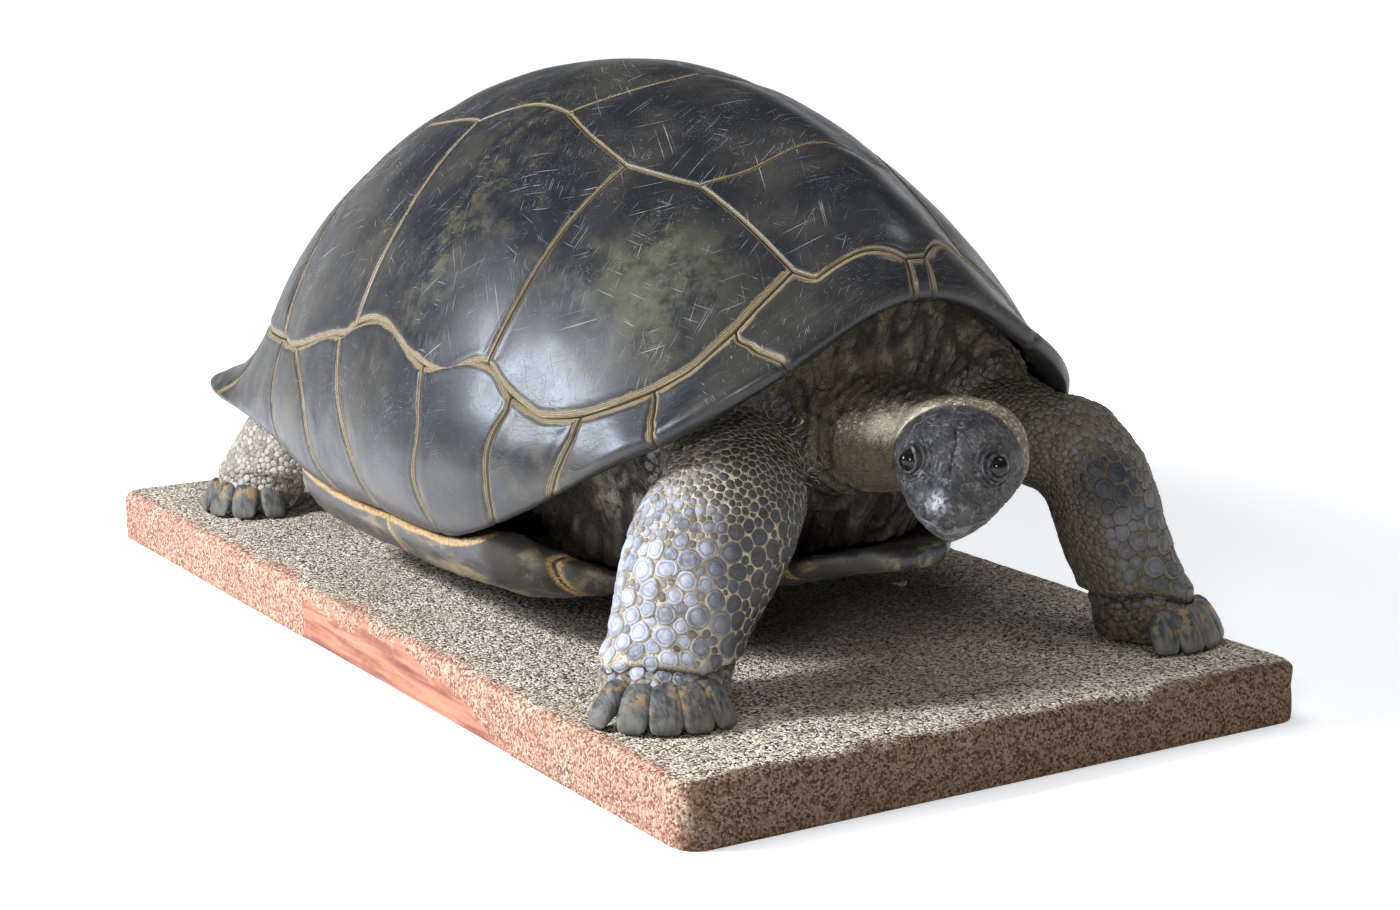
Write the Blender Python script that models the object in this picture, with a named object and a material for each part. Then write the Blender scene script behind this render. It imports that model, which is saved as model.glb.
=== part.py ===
"""A giant tortoise of the Aldabra kind, mounted in a walking stance on its display board, at life size.

The board's underside is z = 0 and its middle is the origin. The animal faces -Y, and its left side is +X.
The carapace is one smooth form in polar layout round its summit. Its horny plates (scutes) are laid out
on a flat chart of that form: a point of the chart is (side, back), and its distance from the centre is
`reach`, which is 0 at the summit, 1 on the seam above the marginal plates and 2 at the free rim.
"""

import bpy
import bmesh
from math import atan2, cos, hypot, pi, radians, sin, tan
from mathutils import Matrix, Vector

# Board
BOARD_WIDTH = 0.700
BOARD_LENGTH = 1.375
BOARD_THICK = 0.059
BOARD_CORNER = 0.026
BOARD_EDGE = 0.010

# Carapace: summit, then the plan of the marginal seam and of the rim as half-width, reach forward,
# reach back and the two powers that square off the front and back of the oval
SUMMIT = Vector((0.0, -0.030, 0.614))
SEAM_PLAN = (0.324, 0.462, 0.550, 2.85, 2.75)
RIM_PLAN = (0.318, 0.510, 0.690, 3.2, 4.4)
# Heights at even steps of angle from the front (0) to the back (180 degrees)
SEAM_HEIGHTS = (0.490, 0.415, 0.340, 0.307, 0.328, 0.345, 0.348, 0.336, 0.318, 0.301, 0.306, 0.312, 0.313)
RIM_HEIGHTS = (0.420, 0.378, 0.301, 0.220, 0.172, 0.165, 0.166, 0.164, 0.172, 0.200, 0.212, 0.208, 0.200)
DOME_ARCS = (36, 52, 57, 60, 60)  # degrees of arc from summit to seam
# How far the marginals carry on down the dome's slope before they turn to the rim
MARGIN_ARMS = (0.046, 0.036, 0.036, 0.056, 0.104, 0.124, 0.128, 0.124, 0.110, 0.080, 0.092, 0.092, 0.090)
PLATE_THICK = 0.005
RIM_THICK = 0.009  # added to a marginal plate towards its rim
PILLOW = 0.0035  # rise of a plate's middle over its seams
SEAM_INSET = 0.0026  # chart units trimmed off each side of a seam
BONE_DEPTH = 0.018  # the body's top lies this far inside the plates' outer face

# Body
GAP = 0.0003
FLOOR = BOARD_THICK + GAP
PLASTRON_THICK = 0.022
BRIDGE_FRONT = -0.285
BRIDGE_BACK = 0.215
BRIDGE_BLEND = 0.040
BRIDGE_INSET = 0.004  # the bridge meets the rim this far inside it
BRIDGE_DROP = 0.002
BRIDGE_LIP = 0.026
LOBE_LIP = 0.012
GULAR_TIP = -0.532
ANAL_TIP = 0.478
BELLY = 0.100

# Head: middle of the skull, the way it looks, and its size
HEAD_PLACE = Vector((0.0034, -0.590, 0.2835))
HEAD_YAW = 43.5  # degrees from straight ahead towards the animal's right
HEAD_PITCH = 20.0  # degrees below level
HEAD_ROLL = 2.7  # degrees that its left eye sinks
EYE_RADIUS = 0.0105
EYE_FORWARD = 0.046
EYE_SIDE = 0.0405
EYE_UP = 0.020

COLOURS = {
    "scute_horn": ((0.035, 0.037, 0.042), 0.28),
    "plastron_horn": ((0.070, 0.062, 0.042), 0.40),
    "skin_grey": ((0.090, 0.080, 0.062), 0.75),
    "head_horn": ((0.040, 0.040, 0.043), 0.45),
    "eye_glass": ((0.004, 0.004, 0.005), 0.06),
    "sand": ((0.330, 0.260, 0.185), 0.95),
}


# ---------------------------------------------------------------- helpers
def clear_scene():
    for obj in list(bpy.data.objects):
        bpy.data.objects.remove(obj, do_unlink=True)


def collection(name):
    made = bpy.data.collections.new(name)
    bpy.context.scene.collection.children.link(made)
    return made


def material(name):
    colour, roughness = COLOURS[name]
    made = bpy.data.materials.get(name) or bpy.data.materials.new(name)
    made.use_nodes = True
    shader = made.node_tree.nodes["Principled BSDF"]
    shader.inputs["Base Color"].default_value = (*colour, 1.0)
    shader.inputs["Roughness"].default_value = roughness
    shader.inputs["Metallic"].default_value = 0.0
    return made


def place_mesh(name, shape, finish, group):
    """Turns a bmesh into an object, with its faces pointing out."""
    bmesh.ops.recalc_face_normals(shape, faces=shape.faces)
    if shape.calc_volume(signed=True) < 0:
        bmesh.ops.reverse_faces(shape, faces=shape.faces)
    mesh = bpy.data.meshes.new(name)
    shape.to_mesh(mesh)
    shape.free()
    mesh.materials.append(material(finish))
    mesh.shade_smooth()
    mesh.set_sharp_from_angle(angle=radians(35))
    obj = bpy.data.objects.new(name, mesh)
    group.objects.link(obj)
    return obj


def cutter(name, shape, group):
    obj = place_mesh(name, shape, "skin_grey", group)
    obj.hide_render = True
    obj.display_type = "WIRE"
    return obj


def boolean(obj, other, operation):
    made = obj.modifiers.new(operation.title() + "_" + other.name, "BOOLEAN")
    made.operation = operation
    made.object = other
    made.solver = "EXACT"
    made.use_self = operation == "UNION"


def blend(before, a, b, after, t):
    """The smooth curve from a to b, at t between 0 and 1."""
    square = 2 * before - 5 * a + 4 * b - after
    cube = 3 * (a - b) + after - before
    return a + 0.5 * t * (b - before + t * (square + t * cube))


def even_table(values, angle):
    """Reads a table whose values stand at even steps of angle from 0 to pi, with a smooth curve between."""
    steps = len(values) - 1
    place = min(abs(angle) / pi * steps, steps - 1e-9)
    first = int(place)
    t = place - first
    before = values[abs(first - 1)]
    a, b = values[first], values[first + 1]
    after = values[first + 2] if first + 2 <= steps else values[steps - 1]
    return blend(before, a, b, after, t)


def smooth_path(points, steps):
    """A smooth curve through rows of numbers, read at steps + 1 even places."""
    rows = []
    last = len(points) - 1
    for index in range(steps + 1):
        place = min(index / steps * last, last - 1e-9)
        first = int(place)
        t = place - first
        a, b = points[first], points[first + 1]
        before = points[first - 1] if first else [2 * p - q for p, q in zip(a, b)]
        after = points[first + 2] if first + 2 <= last else [2 * q - p for p, q in zip(a, b)]
        rows.append([blend(*row, t) for row in zip(before, a, b, after)])
    return rows


def loft(sections, ends=None):
    """A closed body through loops of points; each end closes to its middle, or to the point given in ends."""
    shape = bmesh.new()
    loops = [[shape.verts.new(point) for point in section] for section in sections]
    count = len(loops[0])
    for low, high in zip(loops, loops[1:]):
        for i in range(count):
            j = (i + 1) % count
            shape.faces.new((low[i], low[j], high[j], high[i]))
    first, last = ends or [sum(sections[i], Vector()) / count for i in (0, -1)]
    for loop, middle in ((loops[0][::-1], first), (loops[-1], last)):
        hub = shape.verts.new(middle)
        for i in range(count):
            shape.faces.new((loop[i], loop[(i + 1) % count], hub))
    bmesh.ops.triangulate(shape, faces=shape.faces)
    return shape


def swollen(shape):
    """The shape grown by the gap that parts leave between them."""
    bmesh.ops.recalc_face_normals(shape, faces=shape.faces)
    shape.normal_update()
    moves = [(vert, vert.normal * GAP * 2) for vert in shape.verts]
    for vert, move in moves:
        vert.co += move
    return shape


def ellipse(centre, across, upward, count):
    return [
        centre + across * cos(2 * pi * i / count) + upward * sin(2 * pi * i / count)
        for i in range(count)
    ]


# ---------------------------------------------------------------- carapace form
def ring(plan, angle):
    half, front, back, front_power, back_power = plan
    side, ahead = sin(angle), cos(angle)
    power, length = (front_power, front) if ahead > 0 else (back_power, back)
    radius = (abs(side / half) ** power + abs(ahead / length) ** power) ** (-1 / power)
    return radius * side, SUMMIT.y - radius * ahead


def full_turn(count):
    """Even angles all the way round, each between -pi and pi."""
    turns = [2 * pi * i / count for i in range(count)]
    return [turn if turn <= pi else turn - 2 * pi for turn in turns]


def shell_point(angle, reach):
    """Outer face of the carapace: a dome out to the seam, then the marginals' curve out to the rim."""
    x, y = ring(SEAM_PLAN, angle)
    seam = Vector((x, y, even_table(SEAM_HEIGHTS, angle)))
    arc = radians(even_table(DOME_ARCS, angle))
    drop = SUMMIT.z - seam.z
    inner = min(reach, 1.0)
    out = sin(inner * arc) / sin(arc)
    rise = (cos(inner * arc) - cos(arc)) / (1 - cos(arc))
    if reach <= 1:
        return Vector((seam.x * out, SUMMIT.y + (seam.y - SUMMIT.y) * out, seam.z + drop * rise))
    slope = tan(arc) * sin(arc) / (1 - cos(arc))
    onward = Vector((seam.x, seam.y - SUMMIT.y, -drop * slope)).normalized()
    bend = seam + onward * even_table(MARGIN_ARMS, angle)
    x, y = ring(RIM_PLAN, angle)
    rim = Vector((x, y, even_table(RIM_HEIGHTS, angle)))
    t = reach - 1
    return seam * (1 - t) ** 2 + bend * 2 * t * (1 - t) + rim * t * t


def shell_normal(angle, reach):
    step = 0.01
    reach = min(max(reach, 2 * step), 2 - step)
    along = shell_point(angle, reach + step) - shell_point(angle, reach - step)
    around = shell_point(angle + step, reach) - shell_point(angle - step, reach)
    return along.cross(around).normalized()


def chart_point(side, back, lift):
    """The carapace at a chart place, raised by lift along its normal."""
    angle = atan2(side, -back)
    reach = hypot(side, back)
    return shell_point(angle, reach) + shell_normal(angle, reach) * lift


def polar(degrees, reach):
    return reach * sin(radians(degrees)), -reach * cos(radians(degrees))


# ---------------------------------------------------------------- plate layout on the chart
# Corners of the five plates down the back, on the left side; the right side mirrors them
BACK_SEAM_MIDDLES = (-1.545, -0.715, -0.250, 0.365, 0.725, 0.985)
BACK_SEAM_ENDS = (
    (0.205, -0.925), (0.230, -0.615), (0.315, -0.198), (0.280, 0.375), (0.225, 0.730), (0.340, 0.935),
)
BACK_ELBOWS = (None, (0.300, -0.446), (0.420, 0.142), (0.330, 0.530), None)

# The long seam over the marginals, front to back, as (degrees, reach)
LONG_SEAM = (
    (12.5, 0.947), (19.9, 0.980), (29.2, 1.017), (38.0, 1.034), (49.2, 0.980), (54.5, 0.946),
    (68.9, 1.021), (97.3, 0.973), (102.4, 0.998), (122.6, 1.029), (131.0, 0.992), (147.0, 1.020),
    (160.0, 0.995), (170.0, 0.990),
)
SIDE_FEET = (5, 7, 10)  # places in LONG_SEAM where the seams between the side plates end
MARGINAL_HEADS = (1, 2, 3, 4, 6, 8, 9, 10, 11, 12, 13)  # and where those between the marginals begin
MARGINAL_RIMS = (16.2, 29.7, 42.0, 51.5, 66.0, 88.0, 106.0, 126.5, 149.0, 161.0, 171.0)
NUCHAL_HALF_ANGLE = 1.2
NUCHAL_TOP = 1.53
MARGIN_TAIL = 0.985
EDGE_STEP = 0.066  # about the length of a plate's edges, metres
PLATE_INNER_RINGS = (0.45, 1.0)
PLATE_OUTER_RINGS = (1.0, 0.72, 0.38)
BAND_REACHES = (0.94, 1.20, 1.45, 1.70, 1.88, 2.03)
BAND_RISE = 0.012
BAND_SPARE = 0.003  # the plates' flat facets cut in this far below the true curve
BAND_TURNS = 96


def chart_run(places, turning=False):
    """Chart points along a row of places, without the last; turning edges change angle and reach evenly."""
    points = []
    for start, end in zip(places, places[1:]):
        length = (chart_point(*start, 0.0) - chart_point(*end, 0.0)).length
        pieces = max(1, round(length / EDGE_STEP))
        if turning:
            start = (atan2(start[0], -start[1]), hypot(*start))
            end = (atan2(end[0], -end[1]), hypot(*end))
        for i in range(pieces):
            row = [p + (q - p) * i / pieces for p, q in zip(start, end)]
            points.append((row[1] * sin(row[0]), -row[1] * cos(row[0])) if turning else tuple(row))
    return points


def mirrored(points):
    return [(-side, back) for side, back in reversed(points)]


def long_seam(first, last):
    return [polar(*LONG_SEAM[i]) for i in range(first, last + 1)]


def back_plate(index):
    """Outline of a plate of the back row, 0 at the front."""
    half = [(0.0, BACK_SEAM_MIDDLES[index]), BACK_SEAM_ENDS[index]]
    half += [BACK_ELBOWS[index], BACK_SEAM_ENDS[index + 1]]
    if index == 4:
        half.append(polar(*LONG_SEAM[-1]))
    half.append((0.0, BACK_SEAM_MIDDLES[index + 1]))
    half = chart_run([place for place in half if place]) + [half[-1]]
    return half + mirrored(half[1:-1])


def side_plate(index):
    """Outline of a plate of the left side row, 0 at the front."""
    top = (
        (BACK_SEAM_ENDS[0], BACK_SEAM_ENDS[1], BACK_ELBOWS[1]),
        (BACK_ELBOWS[1], BACK_SEAM_ENDS[2], BACK_ELBOWS[2]),
        (BACK_ELBOWS[2], BACK_SEAM_ENDS[3], BACK_ELBOWS[3]),
        (BACK_ELBOWS[3], BACK_SEAM_ENDS[4], BACK_SEAM_ENDS[5]),
    )[index]
    feet = long_seam((1, *SIDE_FEET)[index], (*SIDE_FEET, 11)[index])
    return chart_run([*top, *reversed(feet), top[0]])


def marginal_plate(index):
    """Outline of a left marginal, 0 beside the nuchal plate."""
    heads = (0, *MARGINAL_HEADS)
    top = long_seam(heads[index], heads[index + 1])
    if index == 0:
        top = [polar(NUCHAL_HALF_ANGLE, NUCHAL_TOP)] + top
    start, end = (polar((NUCHAL_HALF_ANGLE, *MARGINAL_RIMS)[i], 2.0) for i in (index, index + 1))
    return chart_run(top) + chart_run([top[-1], end, start, top[0]], turning=True)


def nuchal_plate():
    half = [(0.0, BACK_SEAM_MIDDLES[0])]
    half += chart_run([polar(NUCHAL_HALF_ANGLE, NUCHAL_TOP), polar(NUCHAL_HALF_ANGLE, 2.0)], turning=True)
    half += [polar(NUCHAL_HALF_ANGLE, 2.0)]
    return half + mirrored(half[1:])


def tail_plate():
    half = chart_run([(0.0, MARGIN_TAIL), polar(*LONG_SEAM[-1])])
    half += chart_run([polar(*LONG_SEAM[-1]), polar(MARGINAL_RIMS[-1], 2.0), (0.0, 2.0)], turning=True)
    return half + [(0.0, 2.0)] + mirrored(half[1:])


def inset(outline, width):
    """Moves each point of a chart outline inwards, off the seam."""
    count = len(outline)
    area = sum(
        outline[i - 1][0] * outline[i][1] - outline[i][0] * outline[i - 1][1] for i in range(count)
    )
    turn = width if area > 0 else -width
    moved = []
    for i, (side, back) in enumerate(outline):
        before, after = outline[i - 1], outline[(i + 1) % count]
        normals = []
        for start, end in ((before, (side, back)), ((side, back), after)):
            length = hypot(end[0] - start[0], end[1] - start[1])
            normals.append(((start[1] - end[1]) / length, (end[0] - start[0]) / length))
        (ax, ay), (bx, by) = normals
        spread = max(1 + ax * bx + ay * by, 0.35)
        moved.append((side + turn * (ax + bx) / spread, back + turn * (ay + by) / spread))
    return moved


def plate_depth(side, back):
    return PLATE_THICK + RIM_THICK * max(hypot(side, back) - 1, 0.0)


def add_plate(name, outline, group):
    """A curved plate: pillowed outer face, plain inner face, and a wall round the edge."""
    outline = inset(outline, SEAM_INSET)
    count = len(outline)
    hub = (sum(p[0] for p in outline) / count, sum(p[1] for p in outline) / count)
    shape = bmesh.new()

    def chart_ring(share, lift):
        places = [[h + (p - h) * share for h, p in zip(hub, place)] for place in outline]
        return [shape.verts.new(chart_point(*place, lift(place))) for place in places]

    rings = [
        chart_ring(share, lambda place: -plate_depth(*place)) for share in PLATE_INNER_RINGS
    ] + [
        chart_ring(share, lambda place, share=share: PILLOW * (1 - share ** 2)) for share in PLATE_OUTER_RINGS
    ]
    for low, high in zip(rings, rings[1:]):
        for i in range(count):
            j = (i + 1) % count
            shape.faces.new((low[i], low[j], high[j], high[i]))
    for ring_, lift in ((rings[0][::-1], -plate_depth(*hub)), (rings[-1], PILLOW)):
        middle = shape.verts.new(chart_point(*hub, lift))
        for i in range(count):
            shape.faces.new((ring_[i], ring_[(i + 1) % count], middle))
    bmesh.ops.triangulate(shape, faces=shape.faces)
    return place_mesh(name, shape, "scute_horn", group)


def marginal_band():
    """A closed band that holds the marginals, to trim what passes close beneath them."""
    shape = bmesh.new()
    rows = [(reach, -plate_depth(0.0, reach) - BAND_SPARE) for reach in BAND_REACHES]
    rows += [(reach, BAND_RISE) for reach in reversed(BAND_REACHES)]
    turns = full_turn(BAND_TURNS)
    rings = [
        [shape.verts.new(shell_point(turn, reach) + shell_normal(turn, reach) * lift) for turn in turns]
        for reach, lift in rows
    ]
    for low, high in zip(rings, rings[1:] + rings[:1]):
        for i in range(BAND_TURNS):
            j = (i + 1) % BAND_TURNS
            shape.faces.new((low[i], low[j], high[j], high[i]))
    return shape


def add_carapace(group):
    add_plate("nuchal", nuchal_plate(), group)
    add_plate("supracaudal", tail_plate(), group)
    for index in range(5):
        add_plate(f"vertebral_{index + 1}", back_plate(index), group)
    for row, outline_of, number in (("pleural", side_plate, 4), ("marginal", marginal_plate, 11)):
        for index in range(number):
            outline = outline_of(index)
            add_plate(f"{row}_left_{index + 1}", outline, group)
            add_plate(f"{row}_right_{index + 1}", mirrored(outline), group)


# ---------------------------------------------------------------- board
def add_board(group):
    shape = bmesh.new()
    bmesh.ops.create_cube(shape, size=1.0)
    bmesh.ops.scale(shape, vec=(BOARD_WIDTH, BOARD_LENGTH, BOARD_THICK), verts=shape.verts)
    bmesh.ops.translate(shape, vec=(0, 0, BOARD_THICK / 2), verts=shape.verts)
    upright = [e for e in shape.edges if abs(e.verts[0].co.z - e.verts[1].co.z) > BOARD_THICK / 2]
    bmesh.ops.bevel(shape, geom=upright, offset=BOARD_CORNER, segments=5, profile=0.5, affect="EDGES")
    brim = [e for e in shape.edges if min(v.co.z for v in e.verts) > BOARD_THICK - 1e-4]
    bmesh.ops.bevel(shape, geom=brim, offset=BOARD_EDGE, segments=3, profile=0.5, affect="EDGES")
    return place_mesh("base_board", shape, "sand", group)


# ---------------------------------------------------------------- plastron and trunk
def ease(value):
    value = min(max(value, 0.0), 1.0)
    return value * value * (3 - 2 * value)


def bridge_share(y):
    """1 where the plastron is joined to the carapace along the flank, 0 in its free lobes."""
    return ease((y - BRIDGE_FRONT) / BRIDGE_BLEND + 0.5) * ease((BRIDGE_BACK - y) / BRIDGE_BLEND + 0.5)


def rim_at(y):
    """The rim's half-width and height where it crosses y, on the flank."""
    low, high = radians(20), radians(160)
    for _ in range(30):
        middle = (low + high) / 2
        if ring(RIM_PLAN, middle)[1] < y:
            low = middle
        else:
            high = middle
    return ring(RIM_PLAN, low)[0], even_table(RIM_HEIGHTS, low)


# Free lobes of the plastron, front to back: y, half-width, height of the underside
LOBES = (
    (GULAR_TIP, 0.036, 0.165), (-0.505, 0.060, 0.161), (-0.450, 0.104, 0.146), (-0.380, 0.148, 0.124),
    (-0.300, 0.190, 0.110), (-0.200, 0.220, 0.102), (-0.070, 0.238, BELLY), (0.060, 0.235, BELLY),
    (0.190, 0.205, 0.101), (0.290, 0.172, 0.105), (0.380, 0.142, 0.113), (0.440, 0.112, 0.120),
    (ANAL_TIP, 0.060, 0.124),
)
LOBE_STATIONS = 18


def plastron_section(y, half, under):
    """Cross-section loop of the plastron: a flat plate whose sides climb to the rim along the bridge."""
    share = bridge_share(y)
    rim_half, rim_height = rim_at(y)
    top = under + PLASTRON_THICK
    out = half + (rim_half - BRIDGE_INSET - half) * share
    edge = top + (rim_height - BRIDGE_DROP - top) * share
    lip = LOBE_LIP + BRIDGE_LIP * share
    climb = edge - under
    side = [
        (0.0, under), (0.5 * out, under), (0.80 * out, under + 0.003),
        (0.93 * out, under + 0.3 * climb), (0.99 * out, under + 0.7 * climb),
        (out, edge), (out - lip, edge), (0.80 * out - lip, top), (0.0, top),
    ]
    return [Vector((x, y, z)) for x, z in side] + [Vector((-x, y, z)) for x, z in reversed(side[1:-1])]


def plastron_shape():
    return loft([plastron_section(*row) for row in smooth_path(LOBES, LOBE_STATIONS)])


TRUNK_REACHES = (0.15, 0.40, 0.65, 0.85, 1.00, 1.18, 1.36, 1.52)
TRUNK_TURNS = 36
# Skin below the rim, at even steps of angle from front to back: shares of the rim's plan, and heights
MOUTH_SHARES = (0.87, 0.87)
MOUTH_RISE = 0.004
WAIST_SHARES = (0.80, 0.80, 0.80, 0.84, 0.84, 0.80, 0.76)
WAIST_HEIGHTS = (0.330, 0.300, 0.225, 0.160, 0.158, 0.160, 0.175)
BELLY_SHARES = (0.72, 0.66, 0.62, 0.64, 0.66, 0.62, 0.60)
BELLY_RISE = 0.002  # between the plastron's inner face and the skin


def under_rim(angle, shares, height):
    """A place inside the rim, at a share of its plan."""
    x, y = ring(RIM_PLAN, angle)
    share = even_table(shares, angle)
    return Vector((x * share, SUMMIT.y + (y - SUMMIT.y) * share, height))


def trunk_column(angle):
    """Points of the body from near the summit, down inside the plates, to the edge of the belly."""
    column = []
    for reach in TRUNK_REACHES:
        depth = BONE_DEPTH + RIM_THICK * max(reach - 1, 0.0)
        column.append(shell_point(angle, reach) - shell_normal(angle, reach) * depth)
    column.append(under_rim(angle, MOUTH_SHARES, even_table(RIM_HEIGHTS, angle) + MOUTH_RISE))
    column.append(under_rim(angle, WAIST_SHARES, even_table(WAIST_HEIGHTS, angle)))
    belly = under_rim(angle, BELLY_SHARES, 0.0)
    belly.z = belly_height(belly.y)
    return column + [belly]


def trunk_shape():
    """The body under the plates: bone beneath the dome, then skin from the rim down to the plastron."""
    columns = [trunk_column(turn) for turn in full_turn(TRUNK_TURNS)]
    ends = (SUMMIT - Vector((0, 0, BONE_DEPTH)), Vector((0, 0, belly_height(0.0))))
    return loft(list(zip(*columns)), ends)


def belly_height(y):
    """Just above the plastron's inner face."""
    rows = smooth_path(LOBES, LOBE_STATIONS)
    for (ya, _, za), (yb, _, zb) in zip(rows, rows[1:]):
        if ya <= y <= yb:
            return za + (zb - za) * (y - ya) / (yb - ya) + PLASTRON_THICK + BELLY_RISE
    return BELLY + PLASTRON_THICK


# ---------------------------------------------------------------- limbs, neck and tail
# Stations run from the sole (or tip) to inside the body: x, y, z, half-width across, half-width along
FRONT_RIGHT = (
    (-0.250, -0.487, FLOOR, 0.058, 0.056), (-0.252, -0.490, 0.085, 0.065, 0.062),
    (-0.237, -0.482, 0.112, 0.062, 0.058), (-0.218, -0.474, 0.152, 0.070, 0.066),
    (-0.186, -0.464, 0.200, 0.077, 0.070), (-0.150, -0.450, 0.240, 0.073, 0.066),
    (-0.126, -0.405, 0.262, 0.064, 0.052), (-0.112, -0.340, 0.262, 0.052, 0.046),
)
FRONT_LEFT = (
    (0.278, -0.532, FLOOR, 0.047, 0.050), (0.278, -0.537, 0.085, 0.053, 0.056),
    (0.272, -0.528, 0.114, 0.049, 0.050), (0.259, -0.515, 0.150, 0.054, 0.055),
    (0.250, -0.503, 0.195, 0.056, 0.056), (0.238, -0.482, 0.241, 0.057, 0.055),
    (0.195, -0.430, 0.262, 0.058, 0.054), (0.138, -0.360, 0.256, 0.050, 0.046),
)
HIND_RIGHT = (
    (-0.237, 0.492, FLOOR, 0.052, 0.052), (-0.239, 0.490, 0.086, 0.057, 0.056),
    (-0.233, 0.478, 0.114, 0.052, 0.052), (-0.222, 0.452, 0.143, 0.057, 0.056),
    (-0.200, 0.418, 0.168, 0.060, 0.058), (-0.160, 0.395, 0.190, 0.060, 0.052),
    (-0.100, 0.385, 0.205, 0.048, 0.044),
)
HIND_LEFT_STEP = 0.045  # the left hind foot stands this much further back
FRONT_RIGHT_CLAWS = (-12, 8, 29, 51, 76)  # degrees from straight ahead, outwards
FRONT_LEFT_CLAWS = (-24, -2, 20, 42, 62)
HIND_CLAWS = (8, 40, 71, 103)
NECK = (
    (-0.010, -0.350, 0.275, 0.088, 0.062), (-0.008, -0.420, 0.280, 0.086, 0.063),
    (0.004, -0.480, 0.284, 0.074, 0.058), (0.016, -0.520, 0.289, 0.060, 0.050),
    (0.016, -0.552, 0.291, 0.046, 0.041), (0.008, -0.574, 0.290, 0.034, 0.033),
)
TAIL = (
    (0.052, 0.600, 0.098, 0.006, 0.006), (0.036, 0.600, 0.118, 0.014, 0.014),
    (0.014, 0.578, 0.145, 0.023, 0.022), (0.004, 0.530, 0.166, 0.031, 0.028),
    (0.000, 0.470, 0.176, 0.036, 0.032), (0.000, 0.400, 0.180, 0.034, 0.030),
)
LIMB_TURNS = 14
LEG_STEPS = 11
NECK_STEPS = 7
TAIL_STEPS = 6
CLAW_ROOT = 0.042
CLAW_REACH = 0.086
CLAW_HALF = 0.0145
CLAW_TURNS = 6
# A claw's sections from its root: share of the way out, height of its middle, share of its width, thickness
CLAW_ROWS = (
    (0.0, 0.030, 0.80, 0.0130), (0.4, 0.027, 1.0, 0.0120),
    (0.8, 0.0125, 0.92, 0.0085), (1.0, 0.0052, 0.66, 0.0042),
)
CLAW_LEAN = 56  # degrees that a claw's back leans from level
HIND_CLAW_REACH = 0.070


def limb_sections(stations, steps, across, flat_start):
    """Elliptical sections square to the limb's line; the first lies flat where it is a sole."""
    rows = smooth_path(stations, steps)
    centres = [Vector(row[:3]) for row in rows]
    sections = []
    for i, (centre, row) in enumerate(zip(centres, rows)):
        line = (centres[min(i + 1, steps)] - centres[max(i - 1, 0)]).normalized()
        if flat_start and i < 2:
            line = Vector((0, 0, 1))
        width = (across - line * across.dot(line)).normalized()
        depth = line.cross(width)
        sections.append(ellipse(centre, width * row[3], depth * row[4], LIMB_TURNS))
    return sections


def claw_shape(middle, degrees, outward, reach):
    """One blunt claw: a flattened, down-curved spade from inside the toe to the floor."""
    turn = radians(degrees)
    way = Vector((outward * sin(turn), -cos(turn), 0))
    across = Vector((-way.y, way.x, 0))
    lean = way * cos(radians(CLAW_LEAN)) + Vector((0, 0, sin(radians(CLAW_LEAN))))
    sections = []
    for share, height, wide, thick in CLAW_ROWS:
        out = CLAW_ROOT + share * (reach - CLAW_ROOT)
        centre = Vector((middle[0], middle[1], BOARD_THICK + height)) + way * out
        sections.append(ellipse(centre, across * CLAW_HALF * wide, lean * thick, CLAW_TURNS))
    return loft(sections)


def add_leg(name, stations, claws, outward, reach, parts, cutters, clearances):
    shape = loft(limb_sections(stations, LEG_STEPS, Vector((1, 0.3 * outward, 0)), True))
    leg = place_mesh(name, shape, "skin_grey", parts)
    foot = bmesh.new()
    for degrees in claws:
        claw = claw_shape(stations[1], degrees, outward, reach)
        scratch = bpy.data.meshes.new("claw")
        bmesh.ops.recalc_face_normals(claw, faces=claw.faces)
        claw.to_mesh(scratch)
        claw.free()
        foot.from_mesh(scratch)
        bpy.data.meshes.remove(scratch)
    boolean(leg, cutter(name + "_claws", foot, cutters), "UNION")
    for clearance in clearances:
        boolean(leg, clearance, "DIFFERENCE")


def add_limbs(parts, cutters, clearances):
    hind_left = [(-x, y + HIND_LEFT_STEP, z, across, along) for x, y, z, across, along in HIND_RIGHT]
    legs = (
        ("leg_front_right", FRONT_RIGHT, FRONT_RIGHT_CLAWS, -1, CLAW_REACH),
        ("leg_front_left", FRONT_LEFT, FRONT_LEFT_CLAWS, 1, CLAW_REACH * 0.91),
        ("leg_hind_right", HIND_RIGHT, HIND_CLAWS, -1, HIND_CLAW_REACH),
        ("leg_hind_left", hind_left, HIND_CLAWS, 1, HIND_CLAW_REACH),
    )
    for name, stations, claws, outward, reach in legs:
        add_leg(name, stations, claws, outward, reach, parts, cutters, clearances)
    tail = loft(limb_sections(TAIL, TAIL_STEPS, Vector((0, 1, 0)), False))
    tail = place_mesh("tail", tail, "skin_grey", parts)
    for clearance in clearances:
        boolean(tail, clearance, "DIFFERENCE")


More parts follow.
